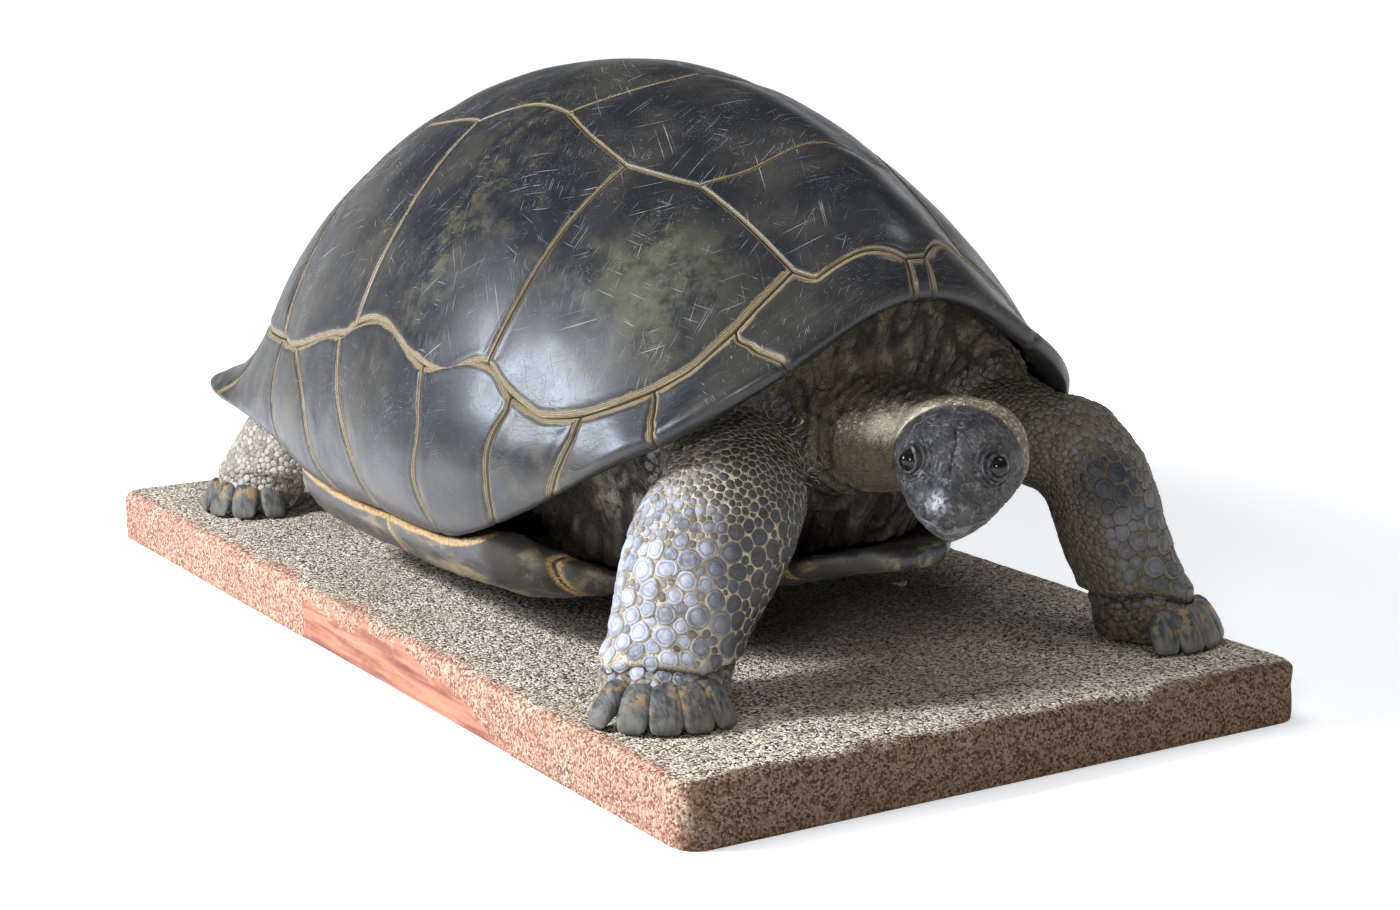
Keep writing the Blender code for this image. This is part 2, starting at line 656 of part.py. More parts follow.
# ---------------------------------------------------------------- head
# Sections of the skull from its back to the snout: forward, half-width, top, underside
SKULL = (
    (-0.052, 0.052, 0.038, -0.044), (-0.030, 0.0595, 0.044, -0.047), (-0.004, 0.0615, 0.0455, -0.047),
    (0.022, 0.056, 0.043, -0.045), (0.046, 0.046, 0.035, -0.042), (0.066, 0.034, 0.020, -0.039),
    (0.080, 0.022, 0.007, -0.036), (0.0885, 0.011, -0.004, -0.032),
)
SKULL_STEPS = 10
SKULL_TURNS = 18
SKULL_POWER = 2.3  # squares its sections a little
MOUTH_PLACE = (0.040, -0.0275)  # a point of the mouth line: forward and up
MOUTH_SLOPE = 9.5  # degrees the mouth line falls towards the beak's tip
JAW_BACK = -0.006
BEAK_BACK = 0.050
BEAK_TOP = 0.012  # above the mouth line
SOCKET_RADIUS = 0.0118
HEAD_SPACE = 0.1  # larger than the head


def head_frame():
    """Local axes of the head: X forward, Y to its left, Z up."""
    return (
        Matrix.Translation(HEAD_PLACE)
        @ Matrix.Rotation(radians(-90 - HEAD_YAW), 4, "Z")
        @ Matrix.Rotation(radians(HEAD_PITCH), 4, "Y")
        @ Matrix.Rotation(radians(-HEAD_ROLL), 4, "X")
    )


def skull_shape():
    sections = []
    for forward, half, top, under in smooth_path(SKULL, SKULL_STEPS):
        middle, tall = (top + under) / 2, (top - under) / 2
        loop = []
        for i in range(SKULL_TURNS):
            turn = 2 * pi * i / SKULL_TURNS
            side, up = cos(turn), sin(turn)
            squared = (abs(side) ** SKULL_POWER + abs(up) ** SKULL_POWER) ** (-1 / SKULL_POWER)
            loop.append(Vector((forward, half * side * squared, middle + tall * up * squared)))
        sections.append(loop)
    return loft(sections)


def block(low, high):
    """A box cutter in the mouth line's own axes, given by two corners."""
    shape = bmesh.new()
    bmesh.ops.create_cube(shape, size=1.0)
    size = [b - a for a, b in zip(low, high)]
    middle = [(a + b) / 2 for a, b in zip(low, high)]
    bmesh.ops.scale(shape, vec=size, verts=shape.verts)
    bmesh.ops.translate(shape, vec=middle, verts=shape.verts)
    tilt = Matrix.Rotation(radians(MOUTH_SLOPE), 4, "Y")
    origin = Matrix.Translation((MOUTH_PLACE[0], 0, MOUTH_PLACE[1]))
    bmesh.ops.transform(shape, matrix=origin @ tilt, verts=shape.verts)
    return shape


def ball(centre, radius):
    shape = bmesh.new()
    bmesh.ops.create_uvsphere(shape, u_segments=10, v_segments=6, radius=radius)
    bmesh.ops.translate(shape, vec=centre, verts=shape.verts)
    return shape


def add_head(parts, cutters):
    jaw_low = Vector((JAW_BACK - MOUTH_PLACE[0], -HEAD_SPACE, -HEAD_SPACE))
    jaw_high = Vector((HEAD_SPACE, HEAD_SPACE, 0.0))
    beak_low = Vector((BEAK_BACK - MOUTH_PLACE[0], -HEAD_SPACE, 0.0))
    beak_high = Vector((HEAD_SPACE, HEAD_SPACE, BEAK_TOP))
    shrink = Vector((GAP, 0, GAP))
    jaw_space = cutter("jaw_space", block(jaw_low, jaw_high), cutters)
    beak_space = cutter("beak_space", block(beak_low, beak_high), cutters)
    jaw_block = cutter("jaw_block", block(jaw_low + shrink, jaw_high - shrink), cutters)
    beak_block = cutter("beak_block", block(beak_low + shrink, beak_high - shrink), cutters)
    head = place_mesh("head", skull_shape(), "head_horn", parts)
    jaw = place_mesh("jaw", skull_shape(), "head_horn", parts)
    beak = place_mesh("beak", skull_shape(), "head_horn", parts)
    boolean(head, jaw_space, "DIFFERENCE")
    boolean(head, beak_space, "DIFFERENCE")
    boolean(jaw, jaw_block, "INTERSECT")
    boolean(beak, beak_block, "INTERSECT")
    placed = [head, jaw, beak, jaw_space, beak_space, jaw_block, beak_block]
    for side, word in ((1, "left"), (-1, "right")):
        place = (EYE_FORWARD, EYE_SIDE * side, EYE_UP)
        socket = cutter("socket_" + word, ball(place, SOCKET_RADIUS), cutters)
        boolean(head, socket, "DIFFERENCE")
        placed += [socket, place_mesh("eye_" + word, ball(place, EYE_RADIUS), "eye_glass", parts)]
    for obj in placed:
        obj.matrix_world = head_frame()


def neck_shape():
    return loft(limb_sections(NECK, NECK_STEPS, Vector((1, 0, 0)), False))


def add_neck(parts, cutters, clearances):
    """From inside the body to the back of the skull, which it closes round."""
    neck = place_mesh("neck", neck_shape(), "skin_grey", parts)
    skull = cutter("skull_clearance", swollen(skull_shape()), cutters)
    skull.matrix_world = head_frame()
    for clearance in (*clearances, skull):
        boolean(neck, clearance, "DIFFERENCE")


def main():
    clear_scene()
    parts = collection("giant_tortoise")
    cutters = collection("giant_tortoise_cutters")
    add_board(parts)
    add_carapace(parts)
    place_mesh("plastron", plastron_shape(), "plastron_horn", parts)
    trunk = place_mesh("trunk", trunk_shape(), "skin_grey", parts)
    under_plates = cutter("marginal_clearance", marginal_band(), cutters)
    over_plastron = cutter("plastron_clearance", swollen(plastron_shape()), cutters)
    round_trunk = cutter("trunk_clearance", swollen(trunk_shape()), cutters)
    boolean(trunk, over_plastron, "DIFFERENCE")
    clearances = [under_plates, over_plastron, round_trunk]
    add_neck(parts, cutters, clearances)
    add_limbs(parts, cutters, clearances + [cutter("neck_clearance", swollen(neck_shape()), cutters)])
    add_head(parts, cutters)


main()
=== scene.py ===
"""The mounted giant tortoise: the look of every surface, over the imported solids, in metres."""

import bpy
import bmesh
import numpy as np
from contextlib import contextmanager
from math import cos, pi, radians, sin, tan
from mathutils import Euler, Matrix, Vector
from mathutils.bvhtree import BVHTree


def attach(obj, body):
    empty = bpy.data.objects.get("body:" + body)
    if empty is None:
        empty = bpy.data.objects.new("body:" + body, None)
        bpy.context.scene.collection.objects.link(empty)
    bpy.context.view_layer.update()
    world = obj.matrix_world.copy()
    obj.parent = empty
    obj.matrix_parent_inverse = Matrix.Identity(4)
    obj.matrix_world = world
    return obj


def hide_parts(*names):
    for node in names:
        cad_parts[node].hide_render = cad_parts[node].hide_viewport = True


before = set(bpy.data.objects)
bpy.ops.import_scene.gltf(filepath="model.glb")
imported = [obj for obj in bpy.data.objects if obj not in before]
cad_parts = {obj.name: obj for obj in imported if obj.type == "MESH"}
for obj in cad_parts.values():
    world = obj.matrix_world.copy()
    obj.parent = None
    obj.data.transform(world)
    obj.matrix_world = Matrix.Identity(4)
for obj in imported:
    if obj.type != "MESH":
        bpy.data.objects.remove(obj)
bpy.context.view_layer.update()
rng = np.random.default_rng(20)

BOARD_THICK = 0.059
BODY_MIDDLE = Vector((0, 0, 0.1))


# ---------------------------------------------------------------- finishes
class Finish:
    """A procedural material, put together from its nodes."""

    def __init__(self, name, **values):
        self.material = bpy.data.materials.new(name)
        self.material.use_nodes = True
        self.tree = self.material.node_tree
        self.shader = self.tree.nodes["Principled BSDF"]
        self.spot = self.new("ShaderNodeTexCoord").outputs["Object"]
        self.fill(self.shader, **values)

    def new(self, kind, **settings):
        node = self.tree.nodes.new(kind)
        for name, value in settings.items():
            setattr(node, name, value)
        return node

    def put(self, socket, value):
        if isinstance(value, bpy.types.NodeSocket):
            self.tree.links.new(value, socket)
        elif isinstance(value, tuple) and len(value) == 3 and socket.type == "RGBA":
            socket.default_value = (*value, 1.0)
        else:
            socket.default_value = value

    def fill(self, node, **values):
        """Sets or joins a node's inputs by their names."""
        for name, value in values.items():
            self.put(node.inputs[name.replace("_", " ")], value)
        return node

    def field(self, name):
        return self.new("ShaderNodeAttribute", attribute_name=name).outputs["Fac"]

    def stretched(self, scale, turn=(0, 0, 0)):
        node = self.new("ShaderNodeMapping")
        self.fill(node, Vector=self.spot, Scale=Vector(scale), Rotation=Euler(turn))
        return node.outputs["Vector"]

    def noise(self, scale, detail=3.0, rough=0.55, distort=0.0, spot=None):
        node = self.new("ShaderNodeTexNoise")
        self.fill(node, Vector=spot or self.spot, Scale=scale, Detail=detail, Roughness=rough)
        self.fill(node, Distortion=distort)
        return node.outputs["Fac"]

    def cells(self, scale, output="Distance"):
        node = self.new("ShaderNodeTexVoronoi", feature="F1")
        self.fill(node, Vector=self.spot, Scale=scale, Randomness=1.0)
        return node.outputs[output]

    def math(self, operation, a, b=None, clamp=False):
        node = self.new("ShaderNodeMath", operation=operation, use_clamp=clamp)
        for socket, value in zip(node.inputs, (a, b)):
            if value is not None:
                self.put(socket, value)
        return node.outputs[0]

    def ramp(self, value, low, high, to_low=0.0, to_high=1.0):
        """Eases from to_low to to_high as the value goes from low to high."""
        node = self.new("ShaderNodeMapRange", interpolation_type="SMOOTHSTEP")
        self.fill(node, Value=value, From_Min=low, From_Max=high, To_Min=to_low, To_Max=to_high)
        return node.outputs["Result"]

    def mix(self, share, a, b):
        node = self.new("ShaderNodeMix", data_type="RGBA")
        for index, value in ((0, share), (6, a), (7, b)):  # the inputs of a colour mix: share and two colours
            self.put(node.inputs[index], value)
        return node.outputs[2]

    def plus(self, a, b, clamp=False):
        return self.math("ADD", a, b, clamp)

    def minus(self, a, b, clamp=False):
        return self.math("SUBTRACT", a, b, clamp)

    def times(self, *values):
        """The product of values."""
        product = values[0]
        for value in values[1:]:
            product = self.math("MULTIPLY", product, value)
        return product

    def tint(self, base, colour, *shares):
        """A colour turned towards another by the product of the shares."""
        return self.mix(self.times(*shares), base, colour)

    def parts(self):
        """The x, y and z of the place."""
        return self.fill(self.new("ShaderNodeSeparateXYZ"), Vector=self.spot).outputs

    def near(self, centre, inner, outer):
        """1 within inner of a centre, fading to 0 at outer."""
        node = self.new("ShaderNodeVectorMath", operation="DISTANCE")
        self.put(node.inputs[0], self.spot)
        self.put(node.inputs[1], Vector(centre))
        return self.ramp(node.outputs["Value"], inner, outer, 1.0, 0.0)

    def bump(self, height, distance, below=None):
        node = self.fill(self.new("ShaderNodeBump"), Height=height, Distance=distance)
        if below:
            self.put(node.inputs["Normal"], below)
        return node.outputs["Normal"]

    def made(self, colour, rough, normal):
        """The material, once its shader has its colour, roughness and bumps."""
        self.fill(self.shader, Base_Color=colour, Roughness=rough, Normal=normal)
        return self.material


WORN_PATCH = (-0.185, -0.380, 0.430)  # the rubbed olive place on the right front side plate
# Families of scratches: their direction on the chart, how thin they are drawn out, and their strength
SCRATCHES = (
    (0.35, 0.016, 0.90), (1.30, 0.030, 0.6), (2.15, 0.020, 0.75), (2.75, 0.045, 0.5), (0.90, 0.055, 0.5),
)


def scratches(f):
    """Fine straight scratches in clusters, specks and hazy scuffs, from 0 to 1."""
    marks = f.times(f.ramp(f.cells(300.0), 0.10, 0.16, 0.7, 0.0), f.ramp(f.noise(22.0), 0.54, 0.62))
    chart = f.fill(f.new("ShaderNodeCombineXYZ"), X=f.field("chart_side"), Y=f.field("chart_back")).outputs[0]
    for turn, thin, most in SCRATCHES:
        turned = f.fill(f.new("ShaderNodeMapping"), Vector=chart, Rotation=Euler((0, 0, turn)))
        drawn = f.new("ShaderNodeVectorMath", operation="MULTIPLY")
        f.put(drawn.inputs[0], turned.outputs["Vector"])
        f.put(drawn.inputs[1], Vector((1.0, thin, 1.0)))
        cut = f.noise(780.0, 0.0, 0.5, 0.0, drawn.outputs["Vector"])
        here = f.ramp(f.noise(8.0 + 3.0 * turn, 3.0, 0.7), 0.46, 0.60, 0.0, most)
        marks = f.math("MAXIMUM", marks, f.times(f.ramp(cut, 0.735, 0.80), here))
    haze = f.times(f.ramp(f.noise(540.0, 3.0, 0.8), 0.55, 0.70), f.ramp(f.noise(15.0, 5.0, 0.7), 0.45, 0.66))
    return f.math("MAXIMUM", marks, f.times(haze, 0.35))


def horn_finish():
    """Dark polished scute horn: olive wear, tan growth bands beside the seams, fine pale scratches."""
    f = Finish("scute_horn", Coat_Weight=0.10, Coat_Roughness=0.14)
    edge, wide, lip = (f.field(name) for name in ("seam", "band", "lip"))
    y = f.parts()[1]
    cloud = f.noise(9.0, 4.0)
    blotch = f.noise(38.0, 5.0, 0.65)
    fine = f.noise(420.0, 3.0, 0.7)
    base = f.mix(f.ramp(cloud, 0.38, 0.66), (0.0078, 0.0084, 0.0103), (0.026, 0.024, 0.019))
    olive = f.times(f.ramp(blotch, 0.42, 0.68), f.ramp(f.noise(5.5, 3.0), 0.50, 0.68))
    base = f.tint(base, (0.075, 0.068, 0.030), olive, 0.55)
    worn = f.times(f.near(WORN_PATCH, 0.020, 0.105), f.ramp(f.noise(26.0, 5.0, 0.7), 0.30, 0.62))
    base = f.tint(base, (0.120, 0.114, 0.070), worn, 0.48)
    rear = f.times(f.ramp(y, 0.36, 0.50), f.ramp(f.noise(24.0, 4.0, 0.7), 0.42, 0.60))
    base = f.tint(base, (0.115, 0.090, 0.045), rear, 0.55)
    marks = scratches(f)
    base = f.tint(base, (0.34, 0.35, 0.38), marks, 0.52)
    # growth bands along the seams
    share = f.math("DIVIDE", edge, wide)
    uneven = f.plus(f.times(blotch, 0.9), f.times(f.noise(150.0, 3.0, 0.7), 0.5))
    wavy = f.plus(share, f.minus(uneven, 0.70))
    band = f.ramp(wavy, 0.75, 1.15, 1.0, 0.0)
    line = f.math("SINE", f.times(edge, 3600.0))
    tan_horn = f.mix(f.ramp(line, -0.6, 0.9), (0.110, 0.082, 0.042), (0.265, 0.212, 0.122))
    tan_horn = f.tint(tan_horn, (0.120, 0.085, 0.045), f.ramp(fine, 0.35, 0.75))
    base = f.tint(base, tan_horn, band, 0.92)
    base = f.tint(base, (0.004, 0.004, 0.005), lip, f.ramp(y, -0.10, -0.20), 0.9)
    dark = f.ramp(edge, 0.0004, 0.0014, 1.0, 0.0)
    base = f.tint(base, (0.018, 0.012, 0.007), dark, 0.85)
    f.fill(f.shader, Specular_IOR_Level=f.ramp(y, 0.25, 0.52, 0.45, 0.14))
    rough = f.plus(f.ramp(blotch, 0.30, 0.72, 0.31, 0.44), f.times(band, 0.22))
    rough = f.plus(rough, f.times(marks, 0.15), clamp=True)
    low = f.bump(f.plus(f.times(fine, 0.10), f.times(blotch, 0.5)), 0.0006)
    return f.made(base, rough, f.bump(f.minus(f.times(line, band, 0.5), marks), 0.00035, low))


GRAIN = 420.0  # grains of sand to a metre, about
BODY_SHADE = (0.06, -0.22, BOARD_THICK)  # the middle of the painted shade on the sand under the body


def sand_finish():
    """Fine speckled grit: beige, tan and black, pinker on the animal's right, where red wood shows too, with
    painted shade under the body.
    """
    f = Finish("sand", Specular_IOR_Level=0.25)
    x, y, _ = f.parts()
    tone = f.fill(f.new("ShaderNodeSeparateColor"), Color=f.cells(GRAIN, "Color"))
    pick = tone.outputs[0]
    coarse = f.noise(130.0, 4.0, 0.7)
    broad = f.noise(7.0, 3.0)
    pale = f.mix(f.ramp(pick, 0.30, 0.90), (0.300, 0.235, 0.165), (0.720, 0.630, 0.500))
    sand = f.mix(f.ramp(pick, 0.34, 0.26), pale, (0.035, 0.028, 0.024))
    sand = f.tint(sand, (0.86, 0.82, 0.75), f.ramp(tone.outputs[1], 0.88, 0.94))
    sand = f.tint(sand, (0.130, 0.098, 0.068), f.ramp(coarse, 0.42, 0.64), 0.45)
    sand = f.tint(sand, (0.230, 0.165, 0.105), f.ramp(broad, 0.42, 0.66), 0.30)
    drift = f.times(f.minus(f.noise(14.0, 4.0), 0.5), 0.07)
    flank = f.ramp(f.plus(x, drift), -0.326, -0.350)
    rose = f.mix(f.ramp(pick, 0.1, 0.9), (0.250, 0.095, 0.052), (0.560, 0.300, 0.205))
    rose = f.tint(rose, (0.200, 0.125, 0.085), f.ramp(coarse, 0.45, 0.62), 0.5)
    sand = f.tint(sand, rose, flank, 0.80)
    front = f.ramp(f.plus(y, drift), -0.666, -0.682)
    umber = f.mix(pick, (0.030, 0.014, 0.007), (0.150, 0.082, 0.042))
    sand = f.tint(sand, umber, front, 0.90)
    # painted shade: the sand darkens under the body, where the shell's shadow falls
    under = f.near(BODY_SHADE, 0.10, 0.26)
    sand = f.tint(sand, (0.040, 0.034, 0.027), under, 0.65)
    bare = f.field("bare")
    grain_line = f.noise(60.0, 4.0, 0.6, 0.4, f.stretched((1.0, 0.12, 2.0)))
    wood = f.mix(f.ramp(grain_line, 0.3, 0.7), (0.150, 0.040, 0.022), (0.420, 0.170, 0.095))
    height = f.times(f.minus(f.times(coarse, 1.4), f.cells(GRAIN)), f.minus(1.0, bare))
    return f.made(f.mix(bare, sand, wood), f.ramp(bare, 0.0, 1.0, 0.95, 0.50), f.bump(height, 0.0021))


# ---------------------------------------------------------------- meshes
def placed(name, data):
    """A new object in the scene for a mesh, a lamp or a camera."""
    obj = bpy.data.objects.new(name, data)
    bpy.context.scene.collection.objects.link(obj)
    return obj


def give_fields(mesh, fields):
    """One number per point for each named field."""
    for name, values in fields.items():
        layer = mesh.attributes.new(name, "FLOAT", "POINT")
        layer.data.foreach_set("value", np.asarray(values, np.float32))


def add_mesh(name, points, faces, finish, slot=None, nodes=(), **fields):
    """A smooth mesh object with one number per point for each named field."""
    mesh = bpy.data.meshes.new(name)
    mesh.from_pydata(np.asarray(points).tolist(), [], faces)
    mesh.validate()
    mesh.shade_smooth()
    mesh.materials.append(finish)
    give_fields(mesh, fields)
    obj = placed(name, mesh)
    if slot:
        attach(obj, "root")
    if nodes:
        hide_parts(*nodes)
    return obj


@contextmanager
def opened(mesh):
    """A mesh as a shape to edit, written back at the end."""
    shape = bmesh.new()
    shape.from_mesh(mesh)
    yield shape
    shape.to_mesh(mesh)
    shape.free()


def faced_out(obj):
    """Turns the faces of each closed shell in a mesh outwards."""
    with opened(obj.data) as shape:
        bmesh.ops.recalc_face_normals(shape, faces=shape.faces)
    return obj


def faced_away(obj):
    """Turns an open plate's faces away from the middle of the body."""
    with opened(obj.data) as shape:
        bmesh.ops.recalc_face_normals(shape, faces=shape.faces)
        ways = [(face.calc_center_median() - BODY_MIDDLE).dot(face.normal) for face in shape.faces]
        if sum(way * face.calc_area() for way, face in zip(ways, shape.faces)) < 0:
            bmesh.ops.reverse_faces(shape, faces=shape.faces)
    return obj


def grid_faces(rows, columns, closed=False, first=0):
    """Quads between rows of points; closed joins the last column to the first."""
    faces = []
    for row in range(rows - 1):
        for column in range(columns if closed else columns - 1):
            after = (column + 1) % columns
            a, b = first + row * columns, first + (row + 1) * columns
            faces.append((a + column, b + column, b + after, a + after))
    return faces


def ripple(points, length, seed, count=7):
    """Smooth waves in space, from about -1 to 1, whose crests lie about a length apart."""
    local = np.random.default_rng(seed)
    total = np.zeros(len(points))
    for _ in range(count):
        way = local.normal(size=3)
        way *= 2 * pi / (length * local.uniform(0.7, 1.6) * np.linalg.norm(way))
        total += np.sin(points @ way + local.uniform(0, 2 * pi))
    return total / np.sqrt(count)


def ease(value):
    value = np.clip(value, 0.0, 1.0)
    return value * value * (3 - 2 * value)


def nearest(points, targets):
    """Distance from each point to the nearest target, and which one that is."""
    far = np.empty(len(points))
    which = np.empty(len(points), int)
    for start in range(0, len(points), 2000):
        block = points[start:start + 2000]
        gaps = np.linalg.norm(block[:, None] - targets[None], axis=2)
        which[start:start + 2000] = gaps.argmin(axis=1)
        far[start:start + 2000] = gaps.min(axis=1)
    return far, which


# ---------------------------------------------------------------- carapace form, as in the solids
# A place on the carapace is a bearing from straight ahead and a reach: 0 at the summit, 1 at the long seam
# between dome and marginals, 2 at the rim. The flat chart of the same has the axes side and back
SUMMIT = np.array((0.0, -0.030, 0.614))
# Half-width, length ahead and behind of the summit, and how square the front and back halves are
SEAM_PLAN = (0.324, 0.462, 0.550, 2.85, 2.75)
RIM_PLAN = (0.318, 0.510, 0.690, 3.2, 4.4)
# Values at even bearings from the front to the back
SEAM_HEIGHTS = (0.490, 0.415, 0.340, 0.307, 0.328, 0.345, 0.348, 0.336, 0.318, 0.301, 0.306, 0.312, 0.313)
RIM_HEIGHTS = (0.420, 0.378, 0.301, 0.220, 0.172, 0.165, 0.166, 0.164, 0.172, 0.200, 0.212, 0.208, 0.200)
DOME_ARCS = (36, 52, 57, 60, 60)
MARGIN_ARMS = (0.046, 0.036, 0.036, 0.056, 0.104, 0.124, 0.128, 0.124, 0.110, 0.080, 0.092, 0.092, 0.090)
LIP_RADII = (0.0085, 0.0085, 0.0080, 0.0070, 0.0055, 0.0050, 0.0045, 0.0040, 0.0038, 0.0036, 0.0035)
PILLOW = 0.0035  # how far the middle of a plate is swollen
RIM_INNER = 3.0  # reach at which the rolled rim ends, inside under the plates


def blend(before, a, b, after, t):
    """A smooth step from a to b as t goes from 0 to 1, led by the values before and after."""
    square = 2 * before - 5 * a + 4 * b - after
    cube = 3 * (a - b) + after - before
    return a + 0.5 * t * (b - before + t * (square + t * cube))


def even_table(values, angle):
    """Values given at even bearings, read at any bearing on either side."""
    values = np.asarray(values, float)
    steps = len(values) - 1
    folded = np.abs((np.asarray(angle) + pi) % (2 * pi) - pi)
    place = np.minimum(folded / pi * steps, steps - 1e-9)
    first = place.astype(int)
    after = np.where(first + 2 <= steps, first + 2, steps - 1)
    rows = values[np.abs(first - 1)], values[first], values[first + 1], values[np.clip(after, 0, steps)]
    return blend(*rows, place - first)


def ring(plan, angle):
    """The plan's outline at a bearing."""
    half, front, back, front_power, back_power = plan
    side, ahead = np.sin(angle), np.cos(angle)
    power = np.where(ahead > 0, front_power, back_power)
    length = np.where(ahead > 0, front, back)
    radius = (np.abs(side / half) ** power + np.abs(ahead / length) ** power) ** (-1 / power)
    return np.stack([radius * side, SUMMIT[1] - radius * ahead], axis=-1)


def unit(vectors):
    return vectors / np.linalg.norm(vectors, axis=-1, keepdims=True)


def seam_point(angle):
    return np.column_stack([ring(SEAM_PLAN, angle), even_table(SEAM_HEIGHTS, angle)])


def rim_point(angle):
    return np.column_stack([ring(RIM_PLAN, angle), even_table(RIM_HEIGHTS, angle)])


def dome(angle, reach):
    """The dome, whose section at each bearing is an arc from the summit to the long seam."""
    seam = seam_point(angle)
    arc = np.radians(even_table(DOME_ARCS, angle))
    out = np.sin(reach * arc) / np.sin(arc)
    rise = (np.cos(reach * arc) - np.cos(arc)) / (1 - np.cos(arc))
    flat = SUMMIT[:2] + (seam[:, :2] - SUMMIT[:2]) * out[:, None]
    return np.column_stack([flat, seam[:, 2] + (SUMMIT[2] - seam[:, 2]) * rise])


def margin(angle, reach):
    """The marginals' curve, then their rolled lip, then the inside of the rim."""
    seam, rim = seam_point(angle), rim_point(angle)
    arc = np.radians(even_table(DOME_ARCS, angle))
    slope = np.tan(arc) * np.sin(arc) / (1 - np.cos(arc))
    onward = np.column_stack([seam[:, 0], seam[:, 1] - SUMMIT[1], -(SUMMIT[2] - seam[:, 2]) * slope])
    bend = seam + unit(onward) * even_table(MARGIN_ARMS, angle)[:, None]
    around = unit(rim_point(angle + 0.01) - rim_point(angle - 0.01))
    radius = even_table(LIP_RADII, angle)
    last = 1 - radius / (2 * np.linalg.norm(rim - bend, axis=1))

    def curve(t):
        t = t[:, None]
        return seam * (1 - t) ** 2 + bend * 2 * t * (1 - t) + rim * t * t

    def outward(t):
        t = t[:, None]
        line = unit((bend - seam) * (1 - t) + (rim - bend) * t)
        return unit(np.cross(line, around))

    end, side, r = unit(rim - bend), outward(np.ones_like(last)), radius[:, None]
    centre = rim - (end + side) * r
    t = reach - 1
    turn = np.where(t < 1, (t - last) / (1 - last), 1 + (t - 1) * 2) * pi / 2
    lip = centre + side * r * np.cos(turn)[:, None] + end * r * np.sin(turn)[:, None]
    back = last - np.maximum(t - 1.5, 0.0)
    inside = curve(back) - outward(back) * 2 * r
    outer = curve(np.clip(t, 0, 1))
    return np.where((t < last)[:, None], outer, np.where((t < 1.5)[:, None], lip, inside))


def shell(angle, reach):
    angle, reach = np.atleast_1d(angle).astype(float), np.atleast_1d(reach).astype(float)
    on_dome = (reach <= 1)[:, None]
    return np.where(on_dome, dome(angle, np.minimum(reach, 1)), margin(angle, np.maximum(reach, 1)))


def shell_normal(angle, reach):
    step = 0.004
    reach = np.maximum(np.atleast_1d(reach), 0.03)
    along = shell(angle, reach + step) - shell(angle, reach - step)
    around = shell(angle + step, reach) - shell(angle - step, reach)
    return unit(np.cross(along, around))


def raised(places, lift):
    """Points of the carapace at chart places (side, back), raised along its normal."""
    angle = np.arctan2(places[:, 0], -places[:, 1])
    reach = np.hypot(places[:, 0], places[:, 1])
    return shell(angle, reach) + shell_normal(angle, reach) * np.asarray(lift)[..., None]


def polar(degrees, reach):
    angle = np.radians(degrees)
    return np.stack([reach * np.sin(angle), -reach * np.cos(angle)], axis=-1)


# ---------------------------------------------------------------- plate layout
NUCHAL_HALF_ANGLE = 1.2
NUCHAL_TOP = 1.53  # its reach at the sides, and in the middle
NUCHAL_MIDDLE = 1.536
# The long seam over the marginals: degrees, reach
LONG_SEAM = (
    (12.5, 0.947), (19.9, 0.980), (29.2, 1.017), (38.0, 1.034), (49.2, 0.980), (54.5, 0.946),
    (68.9, 1.021), (97.3, 0.973), (102.4, 0.998), (122.6, 1.029), (131.0, 0.992), (147.0, 1.020),
    (160.0, 0.995), (170.0, 0.990),
)
# Seams on the left half, as chart places (side, back): those across the back row, the elbows where the
# side seams start, the last stretch beside the fifth vertebral, and those between the side plates
BACK_SEAMS = (
    ((0, -NUCHAL_MIDDLE), polar(NUCHAL_HALF_ANGLE, NUCHAL_TOP), (0.106, -1.203), polar(*LONG_SEAM[0])),
    ((0, -0.706), (0.075, -0.692), (0.150, -0.665), (0.230, -0.615)),
    ((0, -0.246), (0.127, -0.222), (0.315, -0.198)),
    ((0, 0.365), (0.140, 0.372), (0.280, 0.375)),
    ((0, 0.725), (0.110, 0.722), (0.225, 0.730)),
)
BACK_ELBOWS = (None, (0.300, -0.446), (0.420, 0.142), (0.330, 0.530), None)
BACK_TAIL = ((0.225, 0.730), (0.340, 0.935))
SIDE_SEAMS = (
    ((0.300, -0.446), (0.410, -0.463), (0.528, -0.488), (0.650, -0.520)),
    ((0.420, 0.142), (0.570, 0.140), (0.720, 0.131), (0.850, 0.132)),
    ((0.330, 0.530), (0.450, 0.592), (0.626, 0.650), (0.700, 0.655)),
)
# Which points of the long seam end the side seams and start the seams between marginals, and the degrees
# at which those meet the rim
SIDE_FEET = (5, 7, 10)
MARGINAL_HEADS = (1, 2, 3, 4, 6, 8, 9, 10, 11, 12, 13)
MARGINAL_RIMS = (16.2, 29.7, 42.0, 51.5, 66.0, 88.0, 106.0, 126.5, 149.0, 161.0, 171.0)
# Where the seams between marginals pass on their way to the rim, where they bow: degrees, reach
MARGINAL_BOWS = {
    4: ((52.0, 1.36),), 5: ((67.0, 1.31), (68.0, 1.60), (66.2, 1.86)), 6: ((92.0, 1.47), (89.0, 1.74)),
    7: ((112.0, 1.33), (108.6, 1.71)), 8: ((126.8, 1.66),),
}
MARGIN_TAIL = 0.985
SEAM_STEP = 0.0035
# Rings of points at these distances from a plate's seams, and more inside them
EDGE_RINGS = (0.0, 0.0006, 0.0013, 0.0021, 0.0031, 0.0043, 0.0058, 0.0076, 0.0098, 0.0125, 0.016, 0.020)
INNER_RINGS = 15
SKIRT = 0.0085  # how far a plate's edge goes down under its neighbour's


